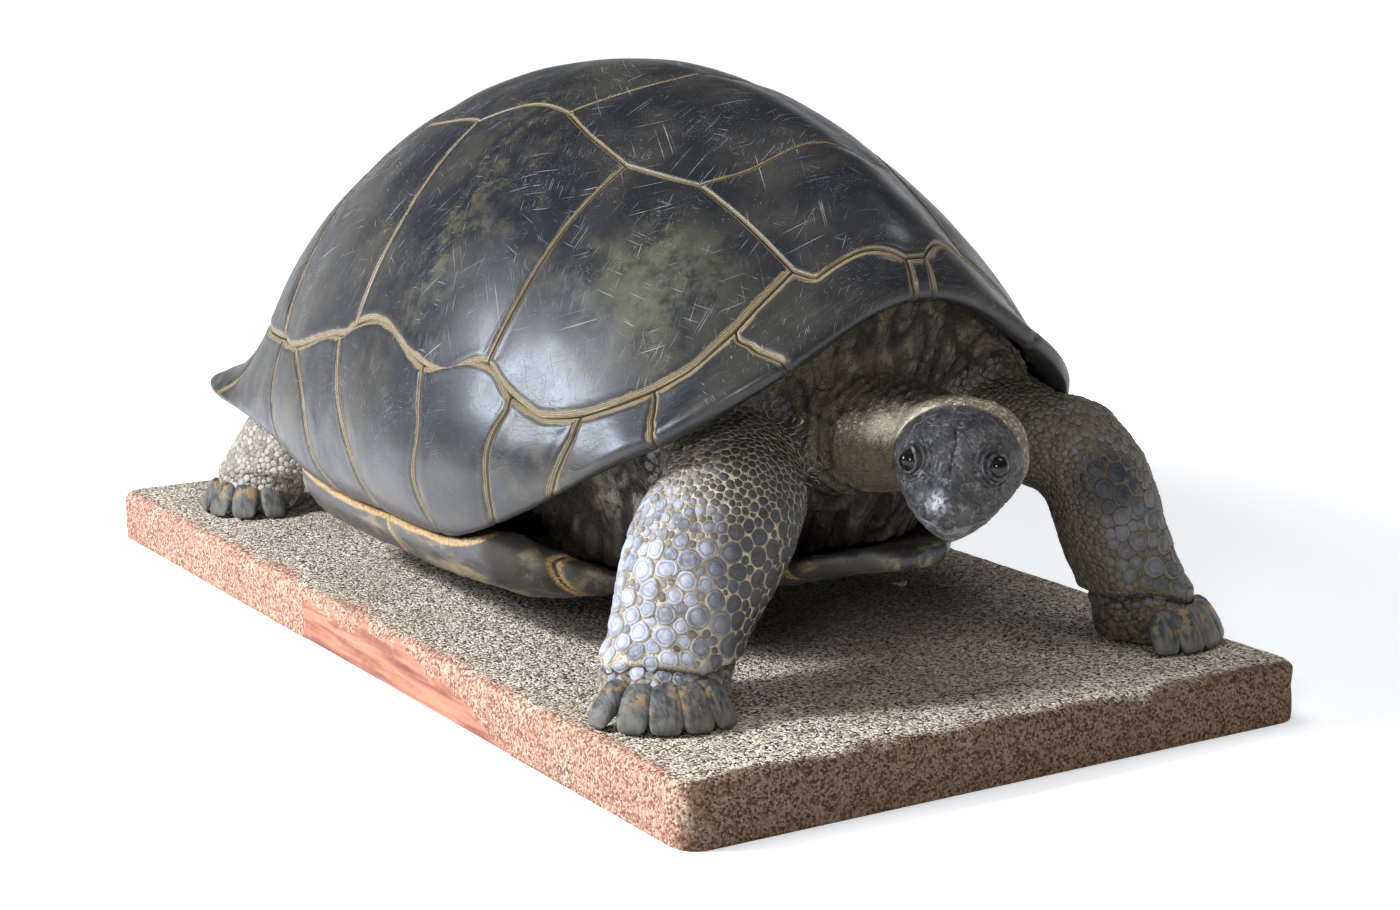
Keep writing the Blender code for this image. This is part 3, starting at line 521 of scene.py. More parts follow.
def wander(places):
    """A little aimless drift of the seams, the same for both plates beside one."""
    tall = np.column_stack([np.abs(places[:, 0]), places[:, 1], np.zeros(len(places))])
    moved = np.stack([ripple(tall, 0.34, 5, 5) * np.sign(places[:, 0]), ripple(tall, 0.34, 6, 5)], axis=1)
    return places + moved * 0.0026 * np.minimum(np.abs(places[:, :1]) / 0.08, 1)


def smooth_run(places, step=SEAM_STEP):
    """Even points along a gently rounded line through chart places."""
    places = np.asarray(places, float)
    ends = np.vstack([2 * places[0] - places[1], places, 2 * places[-1] - places[-2]])
    t = np.linspace(0, 1, 12, endpoint=False)[:, None]
    rows = [blend(*ends[i:i + 4], t) for i in range(len(places) - 1)]
    fine = np.vstack([*rows, places[-1:]])
    solid = raised(fine, np.zeros(len(fine)))
    length = np.concatenate([[0], np.cumsum(np.linalg.norm(np.diff(solid, axis=0), axis=1))])
    count = max(4, int(round(length[-1] / step)))
    even = np.linspace(0, length[-1], count + 1)
    return np.column_stack([np.interp(even, length, fine[:, i]) for i in (0, 1)])


def long_run(first, last):
    return smooth_run(polar(*np.array(LONG_SEAM[first:last + 1]).T))


def outline_of(runs):
    """Joins (line, band width) runs into one loop of places and widths."""
    places = np.vstack([line[:-1] for line, _ in runs])
    widths = np.concatenate([np.full(len(line) - 1, wide) for line, wide in runs])
    return wander(places), widths


CHART_SCALE = 0.42  # metres of shell to one unit of the chart, about
# Widths of the growth bands along the seams of the back, between the side plates, along the margin, and
# between marginals at their heads and at the rim
BACK_BAND = 0.0032
SIDE_BAND = 0.0040
LONG_BAND = 0.0070
HEAD_BAND = 0.0036
RIM_BAND = 0.0086


def back_outline(index):
    """Outline of a plate of the back row, 0 at the front, as a loop of runs."""
    front = BACK_SEAMS[index]
    half = [(smooth_run(front[:2]), BACK_BAND), (smooth_run(front[1:]), BACK_BAND)]
    if index:
        half = [(smooth_run(front), BACK_BAND)]
    middle = BACK_ELBOWS[index]
    if index == 4:
        half.append((smooth_run(BACK_TAIL), BACK_BAND))
        half.append((smooth_run([BACK_TAIL[1], polar(*LONG_SEAM[-1])]), LONG_BAND))
        half.append((smooth_run([polar(*LONG_SEAM[-1]), (0, MARGIN_TAIL)]), LONG_BAND))
    else:
        behind = BACK_SEAMS[index + 1]
        corners = [front[-1], middle, behind[-1]] if middle else [front[-1], behind[-1]]
        for start, end in zip(corners, corners[1:]):
            half.append((smooth_run([start, end]), BACK_BAND))
        half.append((smooth_run(behind[::-1]), BACK_BAND))
    other = [(line[::-1] * (-1, 1), wide) for line, wide in reversed(half)]
    return outline_of(half + other)


def side_outline(index):
    """Outline of a plate of the left side row, 0 at the front."""
    heads = (
        (BACK_SEAMS[0][-1], BACK_SEAMS[1][-1], BACK_ELBOWS[1]),
        (BACK_ELBOWS[1], BACK_SEAMS[2][-1], BACK_ELBOWS[2]),
        (BACK_ELBOWS[2], BACK_SEAMS[3][-1], BACK_ELBOWS[3]),
        (BACK_ELBOWS[3], BACK_SEAMS[4][-1], BACK_TAIL[1]),
    )[index]
    feet = (1, *SIDE_FEET)[index], (*SIDE_FEET, 11)[index]
    runs = [(smooth_run([start, end]), BACK_BAND) for start, end in zip(heads, heads[1:])]
    if index < 3:
        behind = [*SIDE_SEAMS[index], polar(*LONG_SEAM[feet[1]])]
        runs.append((smooth_run(behind), SIDE_BAND))
    else:
        runs.append((smooth_run([heads[-1], polar(*LONG_SEAM[feet[1]])]), SIDE_BAND))
    runs.append((long_run(*feet)[::-1], LONG_BAND))
    if index:
        before = [*SIDE_SEAMS[index - 1], polar(*LONG_SEAM[feet[0]])]
        runs.append((smooth_run(before)[::-1], SIDE_BAND))
    else:
        runs.append((smooth_run([polar(*LONG_SEAM[feet[0]]), polar(*LONG_SEAM[0])]), LONG_BAND))
        runs.append((smooth_run([polar(*LONG_SEAM[0]), heads[0]]), BACK_BAND))
    return outline_of(runs)


def lift_over_seam(gap, wide):
    """Relief beside a seam: its sharp line, in a shallow band with a low welt beyond."""
    line = -0.0024 * np.exp(-(gap / 0.0010) ** 2)
    trough = -0.0013 * np.exp(-(gap / (0.8 * wide)) ** 4)
    welt = 0.0007 * np.exp(-((gap - 1.5 * wide) / (0.6 * wide)) ** 2)
    return line + trough + welt


def rounded(loop, width):
    """A closed line softened over about this many of its points."""
    wave = np.fft.fft(loop[:, 0] + 1j * loop[:, 1])
    turn = np.fft.fftfreq(len(loop))
    wave *= np.exp(-2 * (pi * turn * width) ** 2)
    soft = np.fft.ifft(wave)
    return np.column_stack([soft.real, soft.imag])


def star_plate(name, outline, widths, mirror=False):
    """A plate filled by rings round its middle, close together beside the seam."""
    if mirror:
        outline = outline * (-1, 1)
    flat = np.zeros(len(outline))
    edge = raised(outline, flat)
    hub = outline.mean(axis=0)
    centre = raised(hub[None], np.zeros(1))[0]
    radius = np.linalg.norm(edge - centre, axis=1)
    shares = [1 - gap / radius for gap in EDGE_RINGS]
    inner = np.linspace(1, 0, INNER_RINGS + 2)[1:-1] ** 0.9
    shares += [shares[-1] * share for share in inner]
    rings = [hub + (rounded(outline, 22 * (1 - share.mean())) - hub) * share[:, None] for share in shares]
    places = np.vstack([*rings, hub[None]])
    base = raised(places, np.zeros(len(places)))
    gap, which = nearest(base, edge)
    wide = widths[which]
    swell = np.concatenate([*(1 - share ** 4 for share in shares), [1.0]])
    lift = lift_over_seam(gap, wide) + PILLOW * swell + 0.0005 * ripple(base, 0.09, 31) * swell
    points = raised(places, lift)
    skirt = raised(outline, np.full(len(outline), -SKIRT))
    count = len(outline)
    points = np.vstack([skirt, points])
    faces = grid_faces(len(rings) + 1, count, closed=True)
    last = len(rings) * count
    faces += [(last + i, len(points) - 1, last + (i + 1) % count) for i in range(count)]
    gap, wide = np.concatenate([np.zeros(count), gap]), np.concatenate([widths, wide])
    chart = np.vstack([outline, places]) * CHART_SCALE
    fields = {"seam": gap, "band": wide, "chart_side": chart[:, 0], "chart_back": chart[:, 1]}
    return faced_away(add_mesh(name, points, faces, HORN, "scute_horn", [name], **fields))


def graded(length, fine, coarse, both=True):
    """Shares from 0 to 1 along a length, close together at the ends."""
    places, step = [0.0], fine
    while places[-1] < length / (2 if both else 1):
        places.append(places[-1] + step)
        step = min(step * 1.28, coarse)
    places = np.array(places)
    if not both:
        return places / places[-1]
    half = places / places[-1] / 2
    return np.concatenate([half, 1 - half[-2::-1]])


def side_seam(index):
    """The seam behind a marginal, from its head to inside the rim. Number 0 is beside the nuchal plate."""
    if index == 0:
        rows = [(NUCHAL_HALF_ANGLE, NUCHAL_TOP), (NUCHAL_HALF_ANGLE, 2.0), (NUCHAL_HALF_ANGLE, RIM_INNER)]
    else:
        rim = MARGINAL_RIMS[index - 1]
        bows = MARGINAL_BOWS.get(index, ())
        rows = [LONG_SEAM[MARGINAL_HEADS[index - 1]], *bows, (rim, 2.0), (rim, RIM_INNER)]
    return np.array(rows, float)


def drifting(degrees, reach):
    """The same drift as on the plates above, for places read as degrees and reach."""
    moved = wander(polar(degrees, reach))
    return np.degrees(np.arctan2(moved[:, 0], -moved[:, 1])), np.hypot(moved[:, 0], moved[:, 1])


def read_seam(rows, share):
    """Places along a seam given by rows of degrees and reach, at shares of its reach, gently rounded."""
    reach = rows[0, 1] + (RIM_INNER - rows[0, 1]) * share
    ends = np.vstack([2 * rows[0] - rows[1], rows, 2 * rows[-1] - rows[-2]])
    t = np.linspace(0, 1, 14)[:, None]
    fine = np.vstack([blend(*ends[i:i + 4], t) for i in range(len(rows) - 1)])
    order = np.argsort(fine[:, 1], kind="stable")
    return np.interp(reach, fine[order, 1], fine[order, 0]), reach


MARGIN_LENGTH = 0.22  # metres from the long seam to inside the rim, about
LIP_START, LIP_END = 0.43, 0.80  # shares of that length between which the rolled lip lies


def margin_shares():
    """Rows from the long seam to inside the rim: close at the seam and round the lip."""
    seam = np.array(EDGE_RINGS[:-1]) / MARGIN_LENGTH
    body, lip, inside = (
        np.linspace(start, end, count)[1:]
        for start, end, count in ((seam[-1], LIP_START, 18), (LIP_START, LIP_END, 26), (LIP_END, 1.0, 6))
    )
    return np.concatenate([seam, body, lip, inside])


def margin_plate(name, start, end, top, mirror=False):
    """A plate of the rim between two side seams, under a top run, all of them rows of degrees and reach."""
    shares = margin_shares()
    left, right = read_seam(start, shares), read_seam(end, shares)
    wide = radians(abs(right[0][0] - left[0][0])) * CHART_SCALE
    columns = graded(max(wide, 0.02), 0.0007, 0.0042)
    step = np.concatenate([[0], np.cumsum(np.linalg.norm(np.diff(top * (0.0075, 0.35), axis=0), axis=1))])
    top_degrees = np.interp(columns * step[-1], step, top[:, 0])
    top_reach = np.interp(columns * step[-1], step, top[:, 1])
    across = (top_degrees - top_degrees[0]) / (top_degrees[-1] - top_degrees[0])
    bulge = top_reach - (top_reach[0] * (1 - across) + top_reach[-1] * across)
    fade = ((1 - shares) ** 2)[:, None]
    degrees = left[0][:, None] * (1 - across) + right[0][:, None] * across
    reach = left[1][:, None] * (1 - across) + right[1][:, None] * across + bulge * fade
    rows, count = degrees.shape
    degrees, reach = drifting(degrees.ravel(), reach.ravel())
    places = polar(degrees * (-1 if mirror else 1), reach)
    base = raised(places, np.zeros(len(places)))
    index = np.arange(rows * count).reshape(rows, count)
    seams = np.concatenate([index[0], index[:, 0], index[:, -1]])
    side_band = HEAD_BAND + (RIM_BAND - HEAD_BAND) * np.clip(shares, 0, 1)
    bands = np.concatenate([np.full(count, LONG_BAND), side_band, side_band])
    gap, which = nearest(base, base[seams])
    wide = bands[which]
    worn = np.clip((reach - 1.8) / 0.2, 0, 1)
    swell = (1 - np.abs(2 * across - 1) ** 4) * (1 - np.exp(-shares / 0.10))[:, None]
    swell = swell.ravel() * (1 - worn)
    lift = lift_over_seam(gap, wide) * (1 - 0.75 * worn) + (PILLOW + 0.0006 * ripple(base, 0.07, 32)) * swell
    points = raised(places, lift * np.where(reach > 2.4, 0.3, 1.0))
    faces = grid_faces(rows, count)
    border = np.concatenate([index[:, 0][::-1], index[0, 1:-1], index[:, -1]])
    skirt = raised(places[border], np.full(len(border), -SKIRT * 0.6))
    below = len(points) + np.arange(len(border))
    faces += zip(border, border[1:], below[1:], below)
    points = np.vstack([points, skirt])
    gap = np.concatenate([gap, np.zeros(len(border))])
    wide = np.concatenate([wide, wide[border]])
    lip = np.concatenate([ease((reach - 1.86) / 0.08), np.zeros(len(border))])
    chart = np.vstack([places, places[border]]) * CHART_SCALE
    fields = {"seam": gap, "band": wide, "lip": lip, "chart_side": chart[:, 0], "chart_back": chart[:, 1]}
    return faced_away(add_mesh(name, points, faces, HORN, "scute_horn", [name], **fields))


def marginal_top(index):
    """The long seam over a left marginal, 1 beside the nuchal plate, as even (degrees, reach)."""
    heads = (0, *MARGINAL_HEADS)
    if index == 1:
        places = np.vstack([smooth_run(BACK_SEAMS[0][1:]), long_run(0, 1)[1:]])
    else:
        places = long_run(heads[index - 1], heads[index])
    return np.column_stack([np.degrees(np.arctan2(places[:, 0], -places[:, 1])), np.hypot(*places.T)])


def add_carapace():
    for index in range(5):
        star_plate(f"vertebral_{index + 1}", *back_outline(index))
    for index in range(4):
        outline, widths = side_outline(index)
        star_plate(f"pleural_left_{index + 1}", outline, widths)
        star_plate(f"pleural_right_{index + 1}", outline, widths, mirror=True)
    for index in range(1, 12):
        start, end, top = side_seam(index - 1), side_seam(index), marginal_top(index)
        margin_plate(f"marginal_left_{index}", start, end, top)
        margin_plate(f"marginal_right_{index}", start, end, top, mirror=True)
    for name, seam, turn, middle in (
        ("nuchal", side_seam(0), 0, (0.0, NUCHAL_MIDDLE)),
        ("supracaudal", side_seam(11), 360, (180.0, MARGIN_TAIL)),
    ):
        other = np.column_stack([turn - seam[:, 0], seam[:, 1]])
        margin_plate(name, seam, other, np.array([seam[0], middle, other[0]]))


# ---------------------------------------------------------------- limbs, as in the solids
FLOOR = BOARD_THICK + 0.0003
# Stations from the sole to inside the body: x, y, z, half-width across, half-width along
FRONT_RIGHT = (
    (-0.250, -0.487, FLOOR, 0.058, 0.056), (-0.252, -0.490, 0.085, 0.065, 0.062),
    (-0.237, -0.482, 0.112, 0.062, 0.058), (-0.218, -0.474, 0.152, 0.070, 0.066),
    (-0.186, -0.464, 0.200, 0.077, 0.070), (-0.150, -0.450, 0.240, 0.073, 0.066),
    (-0.126, -0.405, 0.262, 0.064, 0.052), (-0.112, -0.340, 0.262, 0.052, 0.046),
)
FRONT_LEFT = (
    (0.278, -0.532, FLOOR, 0.047, 0.050), (0.278, -0.537, 0.085, 0.053, 0.056),
    (0.272, -0.528, 0.114, 0.049, 0.050), (0.259, -0.515, 0.150, 0.054, 0.055),
    (0.250, -0.503, 0.195, 0.056, 0.056), (0.238, -0.482, 0.241, 0.057, 0.055),
    (0.195, -0.430, 0.262, 0.058, 0.054), (0.138, -0.360, 0.256, 0.050, 0.046),
)
HIND_RIGHT = (
    (-0.237, 0.492, FLOOR, 0.052, 0.052), (-0.239, 0.490, 0.086, 0.057, 0.056),
    (-0.233, 0.478, 0.114, 0.052, 0.052), (-0.222, 0.452, 0.143, 0.057, 0.056),
    (-0.200, 0.418, 0.168, 0.060, 0.058), (-0.160, 0.395, 0.190, 0.060, 0.052),
    (-0.100, 0.385, 0.205, 0.048, 0.044),
)
HIND_LEFT = tuple((-x, y + 0.045, z, across, along) for x, y, z, across, along in HIND_RIGHT)
NECK = (
    (-0.010, -0.350, 0.275, 0.088, 0.062), (-0.008, -0.420, 0.280, 0.086, 0.063),
    (0.004, -0.480, 0.284, 0.074, 0.058), (0.016, -0.520, 0.289, 0.060, 0.050),
    (0.016, -0.552, 0.291, 0.046, 0.041), (0.008, -0.574, 0.290, 0.034, 0.033),
)
TAIL = (
    (0.052, 0.600, 0.098, 0.006, 0.006), (0.036, 0.600, 0.118, 0.014, 0.014),
    (0.014, 0.578, 0.145, 0.023, 0.022), (0.004, 0.530, 0.166, 0.031, 0.028),
    (0.000, 0.470, 0.176, 0.036, 0.032), (0.000, 0.400, 0.180, 0.034, 0.030),
)
LIMBS = {
    "front_right": FRONT_RIGHT, "front_left": FRONT_LEFT, "hind_right": HIND_RIGHT, "hind_left": HIND_LEFT,
    "neck": NECK, "tail": TAIL,
}
# Degrees of each claw from straight ahead, outwards
FRONT_RIGHT_CLAWS = (-12, 8, 29, 51, 76)
FRONT_LEFT_CLAWS = (-24, -2, 20, 42, 62)
HIND_CLAWS = (8, 40, 71, 103)
# Distances of a claw's root and tip from the foot's middle, its half-width, and the lean of its section
CLAW_ROOT = 0.042
CLAW_REACH = 0.086
HIND_CLAW_REACH = 0.070
CLAW_HALF = 0.0145
CLAW_LEAN = 56


def smooth_rows(rows, steps):
    """A smooth curve through rows of numbers, at even places along it."""
    rows = np.asarray(rows, float)
    ends = np.vstack([2 * rows[0] - rows[1], rows, 2 * rows[-1] - rows[-2]])
    place = np.minimum(np.linspace(0, 1, steps + 1) * (len(rows) - 1), len(rows) - 1 - 1e-9)
    first = place.astype(int)
    return blend(*(ends[first + i] for i in range(4)), (place - first)[:, None])


# ---------------------------------------------------------------- head, as in the solids
HEAD_PLACE = (0.0034, -0.590, 0.2835)
HEAD_TURNS = (-90 - 43.5, 20.0, -2.7)  # about Z, Y and X, degrees
SKULL = (  # forward, half-width, top, underside
    (-0.052, 0.052, 0.038, -0.044), (-0.030, 0.0595, 0.044, -0.047), (-0.004, 0.0615, 0.0455, -0.047),
    (0.022, 0.056, 0.043, -0.045), (0.046, 0.046, 0.035, -0.042), (0.066, 0.034, 0.020, -0.039),
    (0.080, 0.022, 0.007, -0.036), (0.0885, 0.011, -0.004, -0.032),
)
SKULL_POWER = 2.3
SNOUT = (0.078, 0.0915)  # forward places where the snout starts to close, and closes
EYE = (0.046, 0.0385, 0.0195)  # forward, aside and up from the head's middle
EYE_RADIUS = 0.0105
LID_OPEN = 0.0054
LID_THICK = 0.0014
MOUTH_PLACE = (0.040, -0.0305)  # a point on the mouth's line: forward, up
MOUTH_SLOPE = 10.5  # degrees down towards the front
# the place of a painted highlight on the left of the nose ridge
NOSE_HIGHLIGHT = (0.078, -0.008, -0.002)
HEAD_AXES = (
    Matrix.Translation(HEAD_PLACE)
    @ Matrix.Rotation(radians(HEAD_TURNS[0]), 4, "Z")
    @ Matrix.Rotation(radians(HEAD_TURNS[1]), 4, "Y")
    @ Matrix.Rotation(radians(HEAD_TURNS[2]), 4, "X")
)
HEAD_TURN = np.array(HEAD_AXES.to_3x3())


def to_head(points):
    return (points - np.array(HEAD_PLACE)) @ HEAD_TURN


def from_head(points):
    return points @ HEAD_TURN.T + np.array(HEAD_PLACE)


SKULL_ROWS = smooth_rows(SKULL, 200)


def skull_level(local):
    """1 on the skull's surface, less inside it."""
    forward = local[:, 0]
    half, top, under = (np.interp(forward, SKULL_ROWS[:, 0], SKULL_ROWS[:, i]) for i in (1, 2, 3))
    closing = np.clip((forward - SNOUT[0]) / (SNOUT[1] - SNOUT[0]), 0, 0.999)
    cap = np.sqrt(1 - closing ** 2) + 1e-3
    middle, tall = (top + under) / 2, (top - under) / 2
    side = np.abs(local[:, 1]) / (half * cap)
    up = np.abs(local[:, 2] - middle) / (tall * cap)
    level = (side ** SKULL_POWER + up ** SKULL_POWER) ** (1 / SKULL_POWER)
    return level + np.maximum(forward - SNOUT[1], 0) * 50


def skull_slope(local):
    step = 0.0006
    columns = []
    for axis in range(3):
        move = np.zeros(3)
        move[axis] = step
        columns.append((skull_level(local + move) - skull_level(local - move)) / (2 * step))
    return np.column_stack(columns)


def onto_skull(local, share):
    """Moves points onto the skull's smooth surface, by a share of the way."""
    moved = local.copy()
    for _ in range(4):
        slope = skull_slope(moved)
        size = (slope ** 2).sum(axis=1, keepdims=True)
        step = (1 - skull_level(moved))[:, None] * slope / np.maximum(size, 100)
        moved += np.clip(step, -0.004, 0.004)
    return local + (moved - local) * share[:, None]


# ---------------------------------------------------------------- skin
FLESH = (
    "trunk", "neck", "tail", "leg_front_right", "leg_front_left", "leg_hind_right", "leg_hind_left",
    "head", "jaw",
)
FLESH_GROWTH = 0.0012
SKIN_VOXEL = 0.0042
COAT_DEPTH = 0.0018  # height of a scale over the skin
HIDDEN_RISE = 0.030  # the skin ends this far above the rim, inside the plates


def grown_copy(joined, name):
    """Adds one solid's mesh, grown a little, to a shape."""
    part = bmesh.new()
    part.from_mesh(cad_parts[name].data)
    bmesh.ops.remove_doubles(part, verts=part.verts, dist=2e-5)
    bmesh.ops.recalc_face_normals(part, faces=part.faces)
    part.normal_update()
    moves = [(vert, vert.normal * FLESH_GROWTH) for vert in part.verts]
    for vert, move in moves:
        vert.co += move
    scratch = bpy.data.meshes.new("scratch")
    part.to_mesh(scratch)
    part.free()
    joined.from_mesh(scratch)
    bpy.data.meshes.remove(scratch)


def remeshed(shape, voxel, smoothing):
    """Turns a shape into one even, closed, softened surface."""
    mesh = bpy.data.meshes.new("flesh")
    shape.to_mesh(mesh)
    shape.free()
    obj = placed("flesh", mesh)
    even = obj.modifiers.new("even", "REMESH")
    even.mode = "VOXEL"
    even.voxel_size = voxel
    soft = obj.modifiers.new("soft", "SMOOTH")
    soft.factor = 0.5
    soft.iterations = smoothing
    made = bpy.data.meshes.new_from_object(obj.evaluated_get(bpy.context.evaluated_depsgraph_get()))
    bpy.data.objects.remove(obj)
    bpy.data.meshes.remove(mesh)
    return made


def softened(mesh, weights, rounds):
    """Smooths a mesh where the weights say, in numbers only."""
    points = points_of(mesh)
    edges = np.empty(len(mesh.edges) * 2, np.int32)
    mesh.edges.foreach_get("vertices", edges)
    a, b = edges.reshape(-1, 2).T
    count = np.bincount(a, minlength=len(points)) + np.bincount(b, minlength=len(points))
    for _ in range(rounds):
        total = [np.bincount(a, axis[b], len(axis)) + np.bincount(b, axis[a], len(axis)) for axis in points.T]
        points += (np.stack(total, axis=1) / np.maximum(count, 1)[:, None] - points) * 0.6 * weights[:, None]
    set_points(mesh, points)


def numbers_of(source, name):
    """Three numbers for each point of a mesh: its place or its normal."""
    flat = np.empty(len(source) * 3, np.float32)
    source.foreach_get(name, flat)
    return flat.reshape(-1, 3).astype(float)


def points_of(mesh):
    return numbers_of(mesh.vertices, "co")


def normals_of(mesh):
    return numbers_of(mesh.vertex_normals, "vector")


def set_points(mesh, points):
    mesh.vertices.foreach_set("co", np.asarray(points, np.float32).ravel())
    mesh.update()


def cut_to(mesh, keep):
    """Drops the faces that touch a point that isn't kept."""
    with opened(mesh) as shape:
        shape.verts.ensure_lookup_table()
        bmesh.ops.delete(shape, geom=[shape.verts[i] for i in np.nonzero(~keep)[0]], context="VERTS")


def refined(mesh, chosen):
    """Splits the edges whose two ends are chosen."""
    with opened(mesh) as shape:
        edges = [e for e in shape.edges if chosen[e.verts[0].index] and chosen[e.verts[1].index]]
        bmesh.ops.subdivide_edges(shape, edges=edges, cuts=1, use_grid_fill=True)


def angle_of(points):
    return np.arctan2(points[:, 0], SUMMIT[1] - points[:, 1])


def hidden_inside(points):
    """True for points of the body that the plates above, or the plastron below, cover for good."""
    angle = angle_of(points)
    above = points[:, 2] > even_table(RIM_HEIGHTS, angle) + HIDDEN_RISE
    rim = np.hypot(*(ring(RIM_PLAN, angle) - SUMMIT[:2]).T)
    within = np.hypot(points[:, 0], points[:, 1] - SUMMIT[1]) < rim * 0.98
    under = (points[:, 2] < 0.150) & (np.abs(points[:, 0]) < 0.12) & (np.abs(points[:, 1]) < 0.36)
    return (above & within & (to_head(points)[:, 0] < -0.08)) | under


def limb_place(points, stations):
    """For each point, how far it lies off a limb's surface, its share along it and its bearing round it."""
    rows = smooth_rows(stations, 40)
    off, which = nearest(points, rows[:, :3])
    centre = rows[which]
    radius = (centre[:, 3] + centre[:, 4]) / 2
    bearing = np.arctan2(points[:, 1] - centre[:, 1], points[:, 0] - centre[:, 0])
    return off - radius, which / 40, bearing


def dent(distance, width):
    return np.exp(-(distance / width) ** 2)


def wrinkles(points, stretch, length, seed, width, count=9):
    """1 along fine wandering lines and 0 between them."""
    return dent(ripple(points * stretch, length, seed, count), width)


def crease(points, stretch, length, seed, width):
    """Wandering folds, -1 along each crease and 0 between them."""
    return -wrinkles(points, stretch, length, seed, width)


def eye_axis(side):
    return unit(np.array((0.50, 0.80 * side, 0.30)))


def eye_places(local, side):
    """Distance from the eye's middle, distance from its axis, and whether the lids are open there."""
    away = local - np.array((EYE[0], EYE[1] * side, EYE[2]))
    line = eye_axis(side)
    flat = away - (away @ line)[:, None] * line
    upward = unit(np.array((0.0, 0.0, 1.0)) - line * line[2])
    rise = flat @ upward
    run = np.sqrt(np.maximum((flat ** 2).sum(axis=1) - rise ** 2, 0))
    gape = ease((LID_OPEN - np.hypot(run, rise * 1.45)) / 0.0012)
    return np.linalg.norm(away, axis=1), np.hypot(run, rise * 1.1), gape * (away @ line > 0)


# Rings on the lids and round them: height, distance from the eye's axis, half-width
LID_RINGS = (
    (0.0013, 0.0060, 0.0014), (-0.0006, 0.0084, 0.0006), (0.0004, 0.0097, 0.0007), (-0.0004, 0.0108, 0.0006),
)
OUTER_RINGS = (
    (-0.0016, 0.0128, 0.0013), (0.0012, 0.0150, 0.0014), (-0.0009, 0.0172, 0.0010),
    (0.0007, 0.0192, 0.0013), (-0.0006, 0.0215, 0.0011),
)


def ring_relief(distance, rings):
    return sum(height * dent(distance - out, width) for height, out, width in rings)


def eye_rings(local):
    """Relief of the wrinkles round the eyes, outside the lids."""
    relief = np.zeros(len(local))
    for side in (1, -1):
        far, away, _ = eye_places(local, side)
        relief += ring_relief(away, OUTER_RINGS) * ease((0.030 - far) / 0.006)
    return relief


def lidded(local):
    """Wraps the lids round the eyeballs, with a thick rim at their opening, and sinks the skin behind it."""
    for side in (1, -1):
        far, away, gape = eye_places(local, side)
        centre = np.array((EYE[0], EYE[1] * side, EYE[2]))
        way = (local - centre) / np.maximum(far, 1e-6)[:, None]
        lid = LID_THICK + ring_relief(away, LID_RINGS)
        ball = (EYE_RADIUS + lid) * (1 - gape) + (EYE_RADIUS - 0.0030) * gape
        held = (far < EYE_RADIUS + lid) | ((gape > 0) & (far < 0.020))
        local = np.where(held[:, None], centre + way * ball[:, None], local)
    return local


def between(value, low, high, soft):
    return ease((value - low) / soft + 0.5) * ease((high - value) / soft + 0.5)


def above_mouth(local):
    """Height of each point over the line of the closed mouth."""
    return local[:, 2] - (MOUTH_PLACE[1] - tan(radians(MOUTH_SLOPE)) * (local[:, 0] - MOUTH_PLACE[0]))


# Swellings and hollows of the face: height, place (forward, aside, up) and half-width along each, where 0
# means that it goes on for ever that way
BROW_FORMS = (
    (0.0022, (0.040, 0.031, 0), (0.015, 0.010, 0)), (0.0016, (0.026, 0.014, 0), (0.022, 0.012, 0)),
    (0.0020, (0.056, 0.009, 0), (0.010, 0.006, 0)),
)
SIDE_FORMS = (
    (-0.0048, (0.070, 0.021, 0.002), (0.012, 0.009, 0.018)), (0.0020, (-0.006, 0, -0.012), (0.018, 0, 0.016)),
    (-0.0016, (-0.024, 0, -0.004), (0.008, 0, 0.009)),
)
NOSE_FORM = (0.0040, (0.078, 0, 0), (0.015, 0.0085, 0))
NECK_GROOVES = ((0.0, 0.0011), (-0.0036, 0.0009), (-0.0070, 0.0008), (-0.0105, 0.0006), (0.0044, 0.0005))
NOSTRIL = (0.0868, 0.0062, -0.0015)


def form(both, height, place, reach):
    """One soft swelling or hollow, the same on both sides of the head."""
    gaps = [((both[:, i] - place[i]) / reach[i]) ** 2 for i in range(3) if reach[i]]
    return height * np.exp(-sum(gaps))


